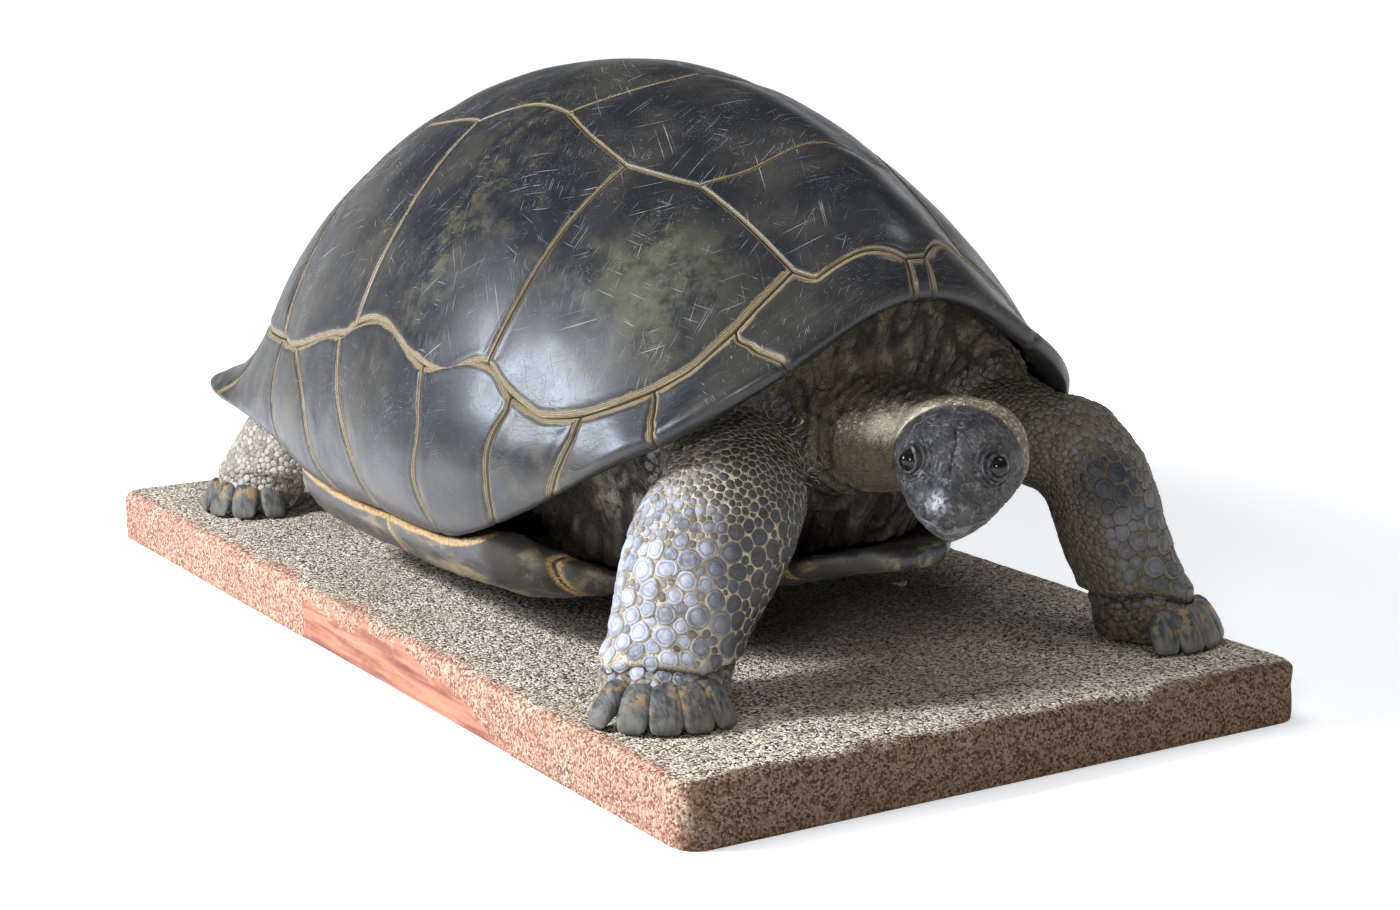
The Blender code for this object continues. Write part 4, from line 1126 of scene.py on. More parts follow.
def head_relief(local):
    """The face: brow, bridge of the nose, shields and their grooves, cheeks and mouth line."""
    f, side, u = local.T
    wide = np.abs(side)
    both = np.column_stack([f, wide, u])
    on_top = ease((u - 0.012) / 0.012)
    lift = sum(form(both, *row) for row in BROW_FORMS) * on_top
    lift += sum(form(both, *row) for row in SIDE_FORMS)
    lift += form(both, *NOSE_FORM) * ease((u + 0.016) / 0.01)
    # grooves between the shields: down the middle, over each brow, and out to the nostrils
    bent = side - 0.0012 * np.sin(f * 190)
    lift -= 0.0015 * dent(bent, 0.0009) * between(f, 0.022, 0.066, 0.012) * on_top
    brow = wide - (0.0265 - 0.35 * (f - 0.040))
    lift -= 0.0010 * dent(brow, 0.0010) * between(f, 0.024, 0.062, 0.010) * on_top
    branch = wide - (f - 0.060) * 1.1
    lift -= 0.0007 * dent(branch, 0.0009) * between(f, 0.058, 0.074, 0.006) * ease(u / 0.01)
    back = f - (-0.004 + 6.5 * side ** 2)
    for step, deep in NECK_GROOVES:
        lift -= deep * dent(back - step, 0.0010) * on_top
    # the closed mouth, with its lip, the jaw set back under it and the hook of the beak
    mouth = above_mouth(local)
    reach = ease((f + 0.004) / 0.012)
    lift -= 0.0026 * dent(mouth, 0.0009) * reach
    lift += 0.0012 * dent(mouth - 0.0030, 0.0022) * reach
    lift -= (0.0014 + 0.0062 * ease((f - 0.048) / 0.028)) * ease(-mouth / 0.0022) * reach
    lift += 0.0034 * dent(side, 0.007) * dent(mouth - 0.0010, 0.004) * ease((f - 0.066) / 0.012)
    hole = np.linalg.norm(both - NOSTRIL, axis=1)
    lift -= 0.0042 * dent(hole, 0.0021)
    lift += 0.0007 * dent(hole - 0.0042, 0.0014)
    # fine relief: grainy skin behind, wrinkles round the eyes, cracks on cheeks and crown
    shield = shield_mask(local)
    eyed = np.linalg.norm(both - EYE, axis=1)
    loose = np.maximum(1 - shield, 0.8 * ease((0.034 - eyed) / 0.014) * ease((eyed - 0.013) / 0.004))
    cheek = shield * ease((wide - 0.020) / 0.012) * ease((0.014 - u) / 0.014)
    lift += 0.00028 * ripple(local, 0.0045, 61, 9) * (1 - shield)
    lift += 0.00035 * ripple(local, 0.011, 62) * shield
    lift -= 0.0007 * wrinkles(local, (1.0, 1.0, 1.6), 0.012, 63, 0.16) * loose
    lift -= 0.0008 * wrinkles(local, (0.6, 1.0, 1.2), 0.010, 64, 0.15) * cheek
    lift -= 0.0006 * wrinkles(local, (1.0, 1.0, 1.0), 0.030, 65, 0.05, 7) * shield * on_top
    return lift


def shield_mask(local):
    """1 on the smooth dark shields of the face, 0 on the granular skin behind."""
    f, side, u = local.T
    crown = ease((f - (-0.013 + 6.5 * side ** 2)) / 0.005 + 0.5)
    cheek = ease((f - 0.000 + 0.25 * u) / 0.014)
    top = ease((u - 0.008) / 0.014)
    return crown * top + cheek * (1 - top)


def shape_head(mesh):
    """Rounds the head to its true form, then cuts its relief, lids and sockets."""
    local = to_head(points_of(mesh))
    close = (np.abs(skull_level(local) - 1) < 0.35) & (local[:, 0] > -0.060) & (local[:, 0] < 0.12)
    share = close * ease((local[:, 0] + 0.046) / 0.026)
    local = onto_skull(local, share)
    slope = unit(skull_slope(local))
    relief = head_relief(local) + eye_rings(local)
    return from_head(lidded(local + slope * (relief * share)[:, None]))


def fold_relief(points):
    """Folds of loose skin: round the neck, in the armpits, and over the wrists and toes."""
    lift = np.zeros(len(points))
    local = to_head(points)
    head = ease((local[:, 0] + 0.060) / 0.030) * ease((0.128 - np.linalg.norm(local, axis=1)) / 0.008)
    off, share, _ = limb_place(points, NECK)
    neck = ease(1 - off / 0.020) * (1 - head) * (points[:, 1] < -0.36)
    rings = ripple(points * (0.8, 0.8, 0.8), 0.05, 71, 5)
    lift += neck * 0.0016 * np.sin(share * 95 + 2.2 * rings)
    lift += neck * 0.0022 * crease(points, (1.0, 1.0, 0.45), 0.026, 72, 0.22)
    legs = np.zeros(len(points))
    for name in ("front_right", "front_left", "hind_right", "hind_left"):
        off, share, bearing = limb_place(points, LIMBS[name])
        limb = ease(1 - off / 0.012)
        legs = np.maximum(legs, limb)
        wrist = points[:, 2] - (0.106 + 0.004 * np.sin(bearing * 2) + 0.002 * ripple(points, 0.05, 73))
        deep = 0.0050 if "front" in name else 0.0024
        lift -= limb * deep * dent(wrist, 0.0034)
        lift += limb * 0.0022 * dent(wrist - 0.009, 0.0065)
        foot = limb * ease(-wrist / 0.008)
        lift += foot * 0.0028 * crease(points, (1.0, 1.0, 1.7), 0.021, 74, 0.25)
        lift += foot * 0.0014 * crease(points, (1.2, 1.2, 1.0), 0.010, 80, 0.25)
        upper = limb * ease((points[:, 2] - 0.215) / 0.03)
        lift += upper * 0.0010 * crease(points, (1.0, 1.0, 0.5), 0.022, 75, 0.2)
    loose = (1 - legs) * (1 - neck) * (1 - head)
    lift += loose * 0.0046 * crease(points, (1.0, 1.0, 0.30), 0.036, 76, 0.30)
    lift += loose * 0.0016 * ripple(points * (1, 1, 0.5), 0.05, 77)
    lift += loose * 0.0024 * crease(points, (1.0, 1.0, 0.5), 0.016, 78, 0.22)
    lift += legs * 0.0004 * ripple(points, 0.018, 79)
    return lift, legs, head


# How near the head's middle the skin is split once more, in turn, as the face needs the finest mesh
FACE_REACHES = (0.135, 0.112, 0.100)


def fleshed():
    """The skin's mesh before its relief: one surface, cut where it is hidden, and finest on the face."""
    joined = bmesh.new()
    for name in (*FLESH, "beak"):
        grown_copy(joined, name)
    mesh = remeshed(joined, SKIN_VOXEL, 9)
    cut_to(mesh, ~hidden_inside(points_of(mesh)))
    local = to_head(points_of(mesh))
    face = (np.linalg.norm(local - (0.02, 0, 0), axis=1) < 0.105) & (local[:, 0] > -0.058)
    softened(mesh, np.where(face, 0.25, 1.0), 12)
    for reach in FACE_REACHES[:3]:
        points = points_of(mesh)
        local = to_head(points)
        split = (np.linalg.norm(local - (0.025, 0, 0), axis=1) < reach) & (local[:, 0] > -0.066)
        if reach == FACE_REACHES[0]:
            split |= (points[:, 1] < -0.26) & (points[:, 2] > BOARD_THICK + 0.001)
        refined(mesh, split)
        softened(mesh, np.full(len(mesh.vertices), 0.5), 2)
    points = points_of(mesh)
    points -= normals_of(mesh) * (FLESH_GROWTH + COAT_DEPTH)
    points[:, 2] -= COAT_DEPTH * ease((FLOOR + 0.006 - points[:, 2]) / 0.003)
    set_points(mesh, points)
    return mesh


def add_skin():
    """One skin without a seam, in place of the solids of flesh."""
    mesh = fleshed()
    set_points(mesh, shape_head(mesh))
    points, normals = points_of(mesh), normals_of(mesh)
    lift, legs, head = fold_relief(points)
    points = points + normals * lift[:, None]
    points[:, 2] = np.maximum(points[:, 2], FLOOR)
    set_points(mesh, points)
    local = to_head(points)
    mesh.materials.clear()
    mesh.materials.append(skin_finish())
    mesh.shade_smooth()
    # the fields for the folds and the lower jaw carry painted shade: darker in the deepest folds and under
    # the mouth
    give_fields(mesh, {
        "leg": legs, "head": head, "fold_shade": np.clip(-lift / 0.003, 0, 1), "shield": shield_mask(local) * head,
        "jaw": ease(-above_mouth(local) / 0.0012) * ease((local[:, 0] - 0.010) / 0.02) * head,
    })
    skin = placed("skin", mesh)
    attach(skin, "root")
    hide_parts(*FLESH)
    return skin


def beak_mask(local):
    """1 on the horny edge of the upper jaw, from the snout back along the mouth."""
    f = local[:, 0]
    mouth = above_mouth(local)
    top = 0.006 + 0.012 * ease((f - 0.055) / 0.030)
    return ease((f - 0.036) / 0.012) * ease((mouth + 0.0004) / 0.0008) * ease((top - mouth) / 0.003 + 0.5)


def add_beak(skin):
    """A thin horn sheath over the skin's own shape at the snout."""
    mesh = skin.data
    points, normals = points_of(mesh), normals_of(mesh)
    local = to_head(points)
    mask = beak_mask(local) * (np.abs(skull_level(local) - 1) < 0.5) * (local[:, 0] < 0.12)
    sheath = points + normals * (0.0016 * ease(mask * 1.2) - 0.0006)[:, None]
    keep = mask > 0.02
    number = np.cumsum(keep) - 1
    faces = [tuple(number[list(p.vertices)]) for p in mesh.polygons if all(keep[v] for v in p.vertices)]
    return add_mesh("beak_horn", sheath[keep], faces, horn_of_face(), "head_horn", ["beak"])


def add_eyes():
    for side, word in ((1, "left"), (-1, "right")):
        shape = bmesh.new()
        bmesh.ops.create_uvsphere(shape, u_segments=40, v_segments=28, radius=EYE_RADIUS)
        turn = Vector(eye_axis(side)).to_track_quat("Z", "Y").to_matrix().to_4x4()
        for vert in shape.verts:
            bulge = max(vert.co.z / EYE_RADIUS - 0.80, 0) / 0.20
            vert.co *= 1 + 0.035 * bulge
        place = HEAD_AXES @ Matrix.Translation((EYE[0], EYE[1] * side, EYE[2])) @ turn
        bmesh.ops.transform(shape, matrix=place, verts=shape.verts)
        mesh = bpy.data.meshes.new("eyeball_" + word)
        shape.to_mesh(mesh)
        shape.free()
        mesh.shade_smooth()
        mesh.materials.append(EYE_GLASS)
        obj = placed("eyeball_" + word, mesh)
        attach(obj, "root")
        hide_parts("eye_" + word)


# ---------------------------------------------------------------- plastron
PLASTRON_SEAMS = (-0.452, -0.285, -0.060, 0.215, 0.372)  # y where its plates meet
PLASTRON_VOXEL = 0.0042


def add_plastron():
    shape = bmesh.new()
    grown_copy(shape, "plastron")
    mesh = remeshed(shape, PLASTRON_VOXEL, 16)
    points, normals = points_of(mesh), normals_of(mesh)
    drift = 0.006 * ripple(points * (1, 1, 0.3), 0.15, 51)
    gaps = [np.abs(points[:, 1] - y - drift - 0.10 * (np.abs(points[:, 0]) - 0.1)) for y in PLASTRON_SEAMS]
    gap = np.minimum.reduce([*gaps, np.abs(points[:, 0] + drift) + (points[:, 2] > 0.13) * 0.1])
    rim_gap = np.abs(even_table(RIM_HEIGHTS, angle_of(points)) - 0.006 - points[:, 2])
    rim = np.where(np.abs(points[:, 0]) > 0.24, rim_gap, 1.0)
    lift = 0.0007 * ripple(points, 0.05, 52) + 0.0004 * ripple(points, 0.014, 53) - 0.0022 * dent(gap, 0.0026)
    set_points(mesh, points + normals * lift[:, None])
    faces = [tuple(polygon.vertices) for polygon in mesh.polygons]
    points = points_of(mesh)
    bpy.data.meshes.remove(mesh)
    return add_mesh(
        "plastron_plate", points, faces, plastron_finish(), "plastron_horn", ["plastron"], seam=gap, rim=rim
    )


def plastron_finish():
    """Dull dark horn of the belly and bridge, streaked with tan along its length, with ochre seams."""
    f = Finish("plastron_horn", Specular_IOR_Level=0.45)
    gap, rim = f.field("seam"), f.field("rim")
    cloud = f.noise(16.0, 4.0)
    streak = f.noise(34.0, 5.0, 0.65, 0.5, f.stretched((1.0, 0.28, 1.0)))
    fine = f.noise(380.0, 3.0, 0.7)
    base = f.mix(f.ramp(cloud, 0.35, 0.65), (0.016, 0.016, 0.018), (0.050, 0.045, 0.034))
    base = f.tint(base, (0.215, 0.160, 0.080), f.ramp(streak, 0.50, 0.68), 0.75)
    base = f.tint(base, (0.300, 0.280, 0.240), f.ramp(fine, 0.60, 0.75), 0.35)
    ochre = f.mix(f.ramp(fine, 0.35, 0.65), (0.150, 0.090, 0.035), (0.420, 0.270, 0.110))
    base = f.tint(base, ochre, f.ramp(gap, 0.0050, 0.0020))
    base = f.tint(base, ochre, f.ramp(rim, 0.0055, 0.0020), 0.85)
    base = f.tint(base, (0.012, 0.008, 0.004), f.ramp(gap, 0.0016, 0.0006))
    height = f.plus(streak, f.times(fine, 0.3))
    return f.made(base, f.ramp(cloud, 0.3, 0.7, 0.34, 0.52), f.bump(height, 0.0010))


# ---------------------------------------------------------------- claws
# Sections of a claw from its root: share of the way out, height of its middle, share of its width, thickness
CLAW_ROWS = (
    (0.0, 0.0300, 0.86, 0.0125), (0.22, 0.0295, 0.98, 0.0128), (0.45, 0.0255, 1.04, 0.0118),
    (0.68, 0.0180, 1.02, 0.0098), (0.86, 0.0112, 0.95, 0.0074), (0.96, 0.0068, 0.84, 0.0050),
    (1.0, 0.0046, 0.62, 0.0026),
)
CLAW_TURNS = 22
CLAW_STEPS = 22
CLAW_POWER = 2.7
CLAW_GROWTH = 0.0005
CLAW_WIDTHS = (0.92, 1.05, 1.08, 1.0, 0.86)


def one_claw(middle, degrees, outward, reach, wide):
    """Points and faces of a broad, blunt claw, domed above and flatter beneath."""
    turn = radians(degrees)
    way = np.array((outward * sin(turn), -cos(turn), 0.0))
    across = np.array((-way[1], way[0], 0.0))
    rows = smooth_rows(CLAW_ROWS, CLAW_STEPS)
    loops = []
    for share, height, width, thick in rows:
        tilt = radians(CLAW_LEAN + 22 * share)
        lean = way * cos(tilt) + np.array((0.0, 0.0, sin(tilt)))
        out = CLAW_ROOT + share * (reach - CLAW_ROOT)
        centre = np.array((middle[0], middle[1], BOARD_THICK + height)) + way * out
        turns = np.linspace(0, 2 * pi, CLAW_TURNS, endpoint=False)
        a, b = np.cos(turns), np.sin(turns)
        squared = (np.abs(a) ** CLAW_POWER + np.abs(b) ** CLAW_POWER) ** (-1 / CLAW_POWER)
        a, b = a * squared * (CLAW_HALF * width * wide + CLAW_GROWTH), b * squared
        b = np.where(b < 0, b * 0.72, b) * (thick + CLAW_GROWTH)
        ridge = 0.0002 * np.sin(share * 60) * (b > 0)
        loops.append(centre + across * a[:, None] + lean * (b + ridge)[:, None])
    points = np.vstack([*loops, loops[0].mean(axis=0)[None], loops[-1].mean(axis=0)[None]])
    points[:, 2] = np.maximum(points[:, 2], BOARD_THICK + 0.0006)
    faces = grid_faces(len(loops), CLAW_TURNS, closed=True)
    last = (len(loops) - 1) * CLAW_TURNS
    root, tip = len(points) - 2, len(points) - 1
    faces += [(root, i, (i + 1) % CLAW_TURNS) for i in range(CLAW_TURNS)]
    faces += [(tip, last + (i + 1) % CLAW_TURNS, last + i) for i in range(CLAW_TURNS)]
    share = np.concatenate([np.repeat(rows[:, 0], CLAW_TURNS), [0, 1]])
    return points, faces, share


def add_claws():
    feet = (
        ("claws_front_right", FRONT_RIGHT, FRONT_RIGHT_CLAWS, -1, CLAW_REACH),
        ("claws_front_left", FRONT_LEFT, FRONT_LEFT_CLAWS, 1, CLAW_REACH * 0.91),
        ("claws_hind_right", HIND_RIGHT, HIND_CLAWS, -1, HIND_CLAW_REACH),
        ("claws_hind_left", HIND_LEFT, HIND_CLAWS, 1, HIND_CLAW_REACH),
    )
    for name, stations, angles, outward, reach in feet:
        points, faces, shares, tones, base = [], [], [], [], 0
        for degrees, wide in zip(angles, CLAW_WIDTHS):
            shape, loops, share = one_claw(stations[1], degrees, outward, reach, wide)
            points.append(shape)
            faces += [tuple(base + index for index in face) for face in loops]
            shares.append(share)
            tones.append(np.full(len(shape), rng.uniform()))
            base += len(shape)
        points, shares, tones = (np.concatenate(parts) for parts in (points, shares, tones))
        faced_out(add_mesh(name, points, faces, CLAW_HORN, "claw_horn", share=shares, tone=tones))


# ---------------------------------------------------------------- scales
SCALE_TURNS = 18
# Profile of a large scale from its edge inwards: share of its radius, height over the skin
SCALE_ROWS = (
    (1.03, -0.0010), (1.0, 0.0008), (0.94, 0.0018), (0.80, 0.0021), (0.68, 0.0015), (0.56, 0.0020),
    (0.28, 0.0022),
)
SMALL_ROWS = ((1.04, -0.0010), (0.95, 0.0012), (0.60, 0.0019))
BIG_SCALE = 0.0048  # radius from which a scale gets the full profile
SCALE_GAP = 0.0006
LEAST_SCALE = 0.0018
PATCH_HALF = 0.0015  # half the width of a scale's patch on the UV map
PACKING_ROUNDS = (1.0, 0.80, 0.62, 0.47, 0.36)  # shares of its asked radius that a scale may get, in turn


def surface_spots(skin, region, count, local):
    """Random places on the skin, even over its area, within a region of it."""
    mesh = skin.data
    mesh.calc_loop_triangles()
    corners = np.empty(len(mesh.loop_triangles) * 3, np.int32)
    mesh.loop_triangles.foreach_get("vertices", corners)
    corners = corners.reshape(-1, 3)
    corners = corners[region[corners].all(axis=1)]
    points = points_of(mesh)[corners]
    normals = normals_of(mesh)[corners]
    area = np.linalg.norm(np.cross(points[:, 1] - points[:, 0], points[:, 2] - points[:, 0]), axis=1)
    chosen = local.choice(len(area), count, p=area / area.sum())
    mix = local.dirichlet((1, 1, 1), count)[:, :, None]
    return (points[chosen] * mix).sum(axis=1), unit((normals[chosen] * mix).sum(axis=1))


def packed_spots(spots, radius):
    """Picks spots whose discs of about the asked radius fill the skin without crossing, large ones first."""
    kept, sizes = np.empty((0, 3)), np.empty(0)
    chosen = []
    for share in PACKING_ROUNDS:
        for i, spot in enumerate(spots):
            size = radius[i] * share
            if size < LEAST_SCALE:
                continue
            if len(kept):
                gap = np.linalg.norm(kept - spot, axis=1) - sizes
                if gap.min() < size * 0.86:
                    continue
            kept = np.vstack([kept, spot])
            sizes = np.append(sizes, size)
            chosen.append(i)
    return np.array(chosen), sizes


def scale_outline(index, spots, normals, sizes):
    """Distances to the edge of one scale, all round: part way between it and its neighbours."""
    centre, normal, size = spots[index], normals[index], sizes[index]
    first = unit(np.cross(normal, (0.31, 0.22, 0.92)))
    second = np.cross(normal, first)
    turns = np.linspace(0, 2 * pi, SCALE_TURNS, endpoint=False)
    ways = np.column_stack([np.cos(turns), np.sin(turns)])
    away = spots - centre
    far = np.linalg.norm(away, axis=1)
    near_by = (far > 1e-9) & (far < (size + sizes) * 1.9)
    flat = np.column_stack([away[near_by] @ first, away[near_by] @ second])
    length = np.linalg.norm(flat, axis=1)
    length = np.maximum(length, 1e-6)
    middle = (length ** 2 + size ** 2 - sizes[near_by] ** 2) / (2 * length)
    cosine = ways @ (flat / length[:, None]).T
    with np.errstate(divide="ignore"):
        reach = np.where(cosine > 0.12, (middle - SCALE_GAP / 2) / np.maximum(cosine, 0.12), 1.0)
    edge = np.minimum(reach.min(axis=1, initial=1.0), size * 1.42)
    edge = np.maximum(edge, size * 0.35)
    edge = (np.roll(edge, 1) + 2 * edge + np.roll(edge, -1)) / 4
    return edge, ways, first, second


def one_scale(tree, centre, normal, size, edge_of, tilt):
    """A scale's points, their places on it from its middle, their shares of its radius, and its faces."""
    edge, ways, first, second = edge_of
    rows = SCALE_ROWS
    if size <= BIG_SCALE:
        rows, edge, ways = SMALL_ROWS, edge[::2], ways[::2]
    height = min(size / 0.0085, 1.15)
    points, flats, outs = [], [], []
    for out, rise in (*rows, (0.0, rows[-1][1] * 1.03)):
        for a, b in ways * (edge * out)[:, None] if out else np.zeros((1, 2)):
            spot = Vector(centre + first * a + second * b)
            found, turned, _, _ = tree.find_nearest(spot, 0.02)
            if found is None:
                found, turned = spot, Vector(normal)
            lean = Vector(normal) * 0.7 + turned * 0.3
            points.append(found + lean * (rise * height + (a * tilt[0] + b * tilt[1]) * (out < 1.02)))
            flats.append((a, b))
            outs.append(out)
    count, hub = len(edge), len(points) - 1
    faces = grid_faces(len(rows), count, closed=True)
    faces += [(hub - count + k, hub, hub - count + (k + 1) % count) for k in range(count)]
    return points, flats, outs, faces


def add_scales(name, skin, tree, region, radius_of, seed, spots, stations):
    """One joined mesh of raised scales over a region of the skin."""
    local = np.random.default_rng(seed)
    places, normals = surface_spots(skin, region, spots, local)
    radius = radius_of(places, normals) * local.uniform(0.80, 1.12, len(places))
    order = np.argsort(-radius * local.uniform(0.6, 1.0, len(places)))
    places, normals, radius = places[order], normals[order], radius[order]
    chosen, sizes = packed_spots(places, radius)
    places, normals = places[chosen], normals[chosen]
    _, share, bearing = limb_place(places, stations)
    roots = 0.05 + 0.9 * np.column_stack([(bearing + pi) / (2 * pi), share])
    points, faces, tones, outs, maps = [], [], [], [], []
    for i, size in enumerate(sizes):
        edge_of = scale_outline(i, places, normals, sizes)
        tilt = local.normal(size=2) * 0.04
        shape, flats, rows, loops = one_scale(tree, places[i], normals[i], size, edge_of, tilt)
        faces += [tuple(len(points) + k for k in face) for face in loops]
        tones += [local.uniform()] * len(shape)
        maps += [roots[i] + np.array(flat) / size * PATCH_HALF for flat in flats]
        points += shape
        outs += rows
    points = np.array([tuple(point) for point in points])
    _, which = nearest(points, places)
    obj = faced_out(add_mesh(
        name, points, faces, SCALE_HORN, "skin_grey", tone=tones, out=outs, size=sizes[which]
    ))
    layer = obj.data.uv_layers.new(name="OFBake")
    corners = np.empty(len(obj.data.loops), np.int32)
    obj.data.loops.foreach_get("vertex_index", corners)
    layer.data.foreach_set("uv", np.asarray(maps, np.float32)[corners].ravel())
    return obj


KNEE_SPOT = (0.218, -0.545, 0.225)  # a group of large black scales on the left foreleg
TAIL_SCALE = 0.0036
# For each leg: its outward side, its random seed, how many places are tried, how far off the leg's own
# surface scales may sit, how low and how high, and the shares of the leg between which they lie
SCALED_LEGS = {
    "front_right": (-1, 11, 14000, 0.016, (0.084, 1.0), (0.13, 0.97)),
    "front_left": (1, 11, 12000, 0.016, (0.084, 1.0), (0.13, 0.97)),
    "hind_right": (-1, 12, 7000, 0.008, (0.068, 0.190), (-1, 0.75)),
    "hind_left": (1, 12, 7000, 0.008, (0.068, 0.190), (-1, 0.75)),
}


def front_leg_radius(side):
    """Large scales on the outer front of a foreleg, finer towards its top and inner side."""
    facing = unit(np.array((0.70 * side, -0.71, 0.05)))

    def radius(places, normals):
        front = ease((normals @ facing + 0.25) / 0.85)
        low = ease((places[:, 2] - 0.092) / 0.022)
        high = ease((0.262 - places[:, 2]) / 0.075)
        patch = 0.82 + 0.18 * ripple(places, 0.05, 91)
        shares = front * (0.12 + 0.88 * low) * (0.18 + 0.82 * high) * patch
        shares += 0.6 * np.exp(-(np.linalg.norm(places - KNEE_SPOT, axis=1) / 0.024) ** 2)
        return 0.0026 + 0.0078 * np.minimum(shares, 1.0)

    return radius


def hind_leg_radius(places, normals):
    low = ease((0.120 - places[:, 2]) / 0.05)
    return 0.0030 + 0.0034 * low + 0.0006 * ripple(places, 0.04, 92)


def tail_radius(places, normals):
    return np.full(len(places), TAIL_SCALE)


def add_all_scales(skin):
    mesh = skin.data
    points = points_of(mesh)
    faces = [tuple(polygon.vertices) for polygon in mesh.polygons]
    tree = BVHTree.FromPolygons([tuple(point) for point in points], faces, epsilon=0.0)
    tried = 1.0
    for name, (side, seed, spots, off_most, heights, shares) in SCALED_LEGS.items():
        off, along, _ = limb_place(points, LIMBS[name])
        region = (off < off_most) & (points[:, 2] > heights[0]) & (points[:, 2] < heights[1])
        region &= (along > shares[0]) & (along < shares[1])
        radius = front_leg_radius(side) if "front" in name else hind_leg_radius
        add_scales("scales_" + name, skin, tree, region, radius, seed, int(spots * tried), LIMBS[name])
    off, along, _ = limb_place(points, TAIL)
    region = (off < 0.006) & (along < 0.8)
    add_scales("scales_tail", skin, tree, region, tail_radius, 13, int(2500 * tried), TAIL)


def face_colour(f, fine, dry, jaw):
    """Slate shields with dry grey specks, a painted highlight on the left of the nose, and painted shade on
    the lower jaw.
    """
    slate = f.mix(f.ramp(f.noise(48.0, 5.0, 0.65), 0.35, 0.68), (0.014, 0.014, 0.016), (0.050, 0.048, 0.045))
    slate = f.tint(slate, (0.130, 0.125, 0.120), f.ramp(fine, 0.55, 0.72), 0.5)
    slate = f.tint(slate, (0.200, 0.198, 0.205), f.ramp(dry, 0.52, 0.64), 0.6)
    # painted highlight on the left of the nose ridge, paler where the skin is dry
    nose_highlight = f.near(from_head(np.array(NOSE_HIGHLIGHT)), 0.004, 0.016)
    slate = f.tint(slate, (0.420, 0.425, 0.460), nose_highlight, f.ramp(dry, 0.40, 0.60))
    # painted shade on the lower jaw, under the line of the mouth
    return f.tint(slate, (0.012, 0.011, 0.010), jaw, 0.85)


def skin_finish():
    """Old dry hide: brown-olive and grey, with a pale neck patch that is partly painted light, painted shade
    under the head, in the folds and on the lower jaw, and cream between the scales of the forelegs.
    """
    f = Finish("skin", Specular_IOR_Level=0.35)
    leg, head, shield, fold_shade, jaw = (f.field(name) for name in ("leg", "head", "shield", "fold_shade", "jaw"))
    x, y, z = f.parts()
    cloud = f.noise(14.0, 4.0)
    fine = f.noise(300.0, 4.0, 0.7)
    lines = f.noise(85.0, 5.0, 0.65, 0.6, f.stretched((1.0, 1.0, 0.35)))
    grains = f.cells(420.0)
    big_grains = f.cells(190.0)
    base = f.mix(f.ramp(cloud, 0.35, 0.65), (0.026, 0.021, 0.012), (0.074, 0.060, 0.038))
    base = f.tint(base, (0.220, 0.180, 0.120), f.ramp(lines, 0.50, 0.66), 0.50)
    cream = f.mix(f.ramp(f.noise(60.0, 4.0), 0.35, 0.65), (0.330, 0.280, 0.190), (0.520, 0.450, 0.330))
    brown = f.mix(f.ramp(lines, 0.4, 0.65), (0.085, 0.066, 0.040), (0.200, 0.160, 0.100))
    near_leg = f.times(leg, f.ramp(x, -0.10, -0.14))
    toward = f.ramp(f.plus(x, f.times(y, 0.6)), -0.43, -0.50)
    base = f.tint(base, brown, leg, 0.8)
    base = f.tint(base, cream, near_leg, f.ramp(toward, 0.0, 1.0, 0.20, 1.0), 0.85)
    foot = f.times(leg, f.ramp(z, 0.112, 0.098))
    ashen = f.mix(f.ramp(lines, 0.35, 0.62), (0.110, 0.095, 0.072), (0.300, 0.260, 0.200))
    base = f.tint(base, ashen, foot, 0.8)
    # a pale patch on the side of the neck: partly the skin's own pale tone, partly painted light where the
    # front lamp falls
    pale = f.near((-0.048, -0.560, 0.305), 0.026, 0.056)
    pale = f.times(pale, f.ramp(lines, 0.30, 0.52))
    crown = f.mix(f.ramp(big_grains, 0.10, 0.55), (0.460, 0.395, 0.290), (0.150, 0.122, 0.082))
    base = f.tint(base, crown, head, 0.9)
    base = f.tint(base, (0.800, 0.710, 0.540), pale, 0.92)
    bare_skin = f.minus(1.0, f.plus(shield, leg), clamp=True)
    # painted shade on the lower neck, under the head
    under = f.times(f.near((-0.050, -0.555, 0.275), 0.065, 0.095), f.ramp(z, 0.306, 0.284))
    under = f.times(under, bare_skin)
    base = f.tint(base, f.mix(lines, (0.020, 0.015, 0.007), (0.120, 0.090, 0.045)), under, 0.92)
    far_leg = f.times(leg, f.ramp(x, 0.05, 0.12), f.ramp(y, 0.0, -0.1))
    base = f.tint(base, f.mix(lines, (0.034, 0.026, 0.010), (0.115, 0.088, 0.036)), far_leg, 0.75)
    flank = f.times(f.near((-0.240, -0.356, 0.180), 0.045, 0.090), f.ramp(lines, 0.34, 0.56))
    flank = f.times(flank, f.minus(1.0, leg))
    base = f.tint(base, (0.800, 0.730, 0.620), flank, 0.9)
    dry = f.noise(110.0, 6.0, 0.75, 1.2)
    base = f.tint(base, face_colour(f, fine, dry, jaw), shield)
    # painted shade in the depths of the skin's folds
    base = f.tint(base, (0.014, 0.010, 0.006), fold_shade, 0.85)
    rough = f.minus(f.ramp(fine, 0.3, 0.7, 0.62, 0.82), f.times(f.minus(shield, jaw, clamp=True), 0.36))
    scaly = f.times(f.ramp(grains, 0.05, 0.55, 1.0, 0.0), f.minus(1.0, shield))
    height = f.plus(f.times(lines, 0.9), f.plus(scaly, f.times(fine, 0.35)))
    low = f.bump(f.plus(height, f.times(dry, shield, 2.2)), 0.0011)
    return f.made(base, rough, f.bump(f.times(f.ramp(big_grains, 0.05, 0.5, 1.0, 0.0), head), 0.0007, low))


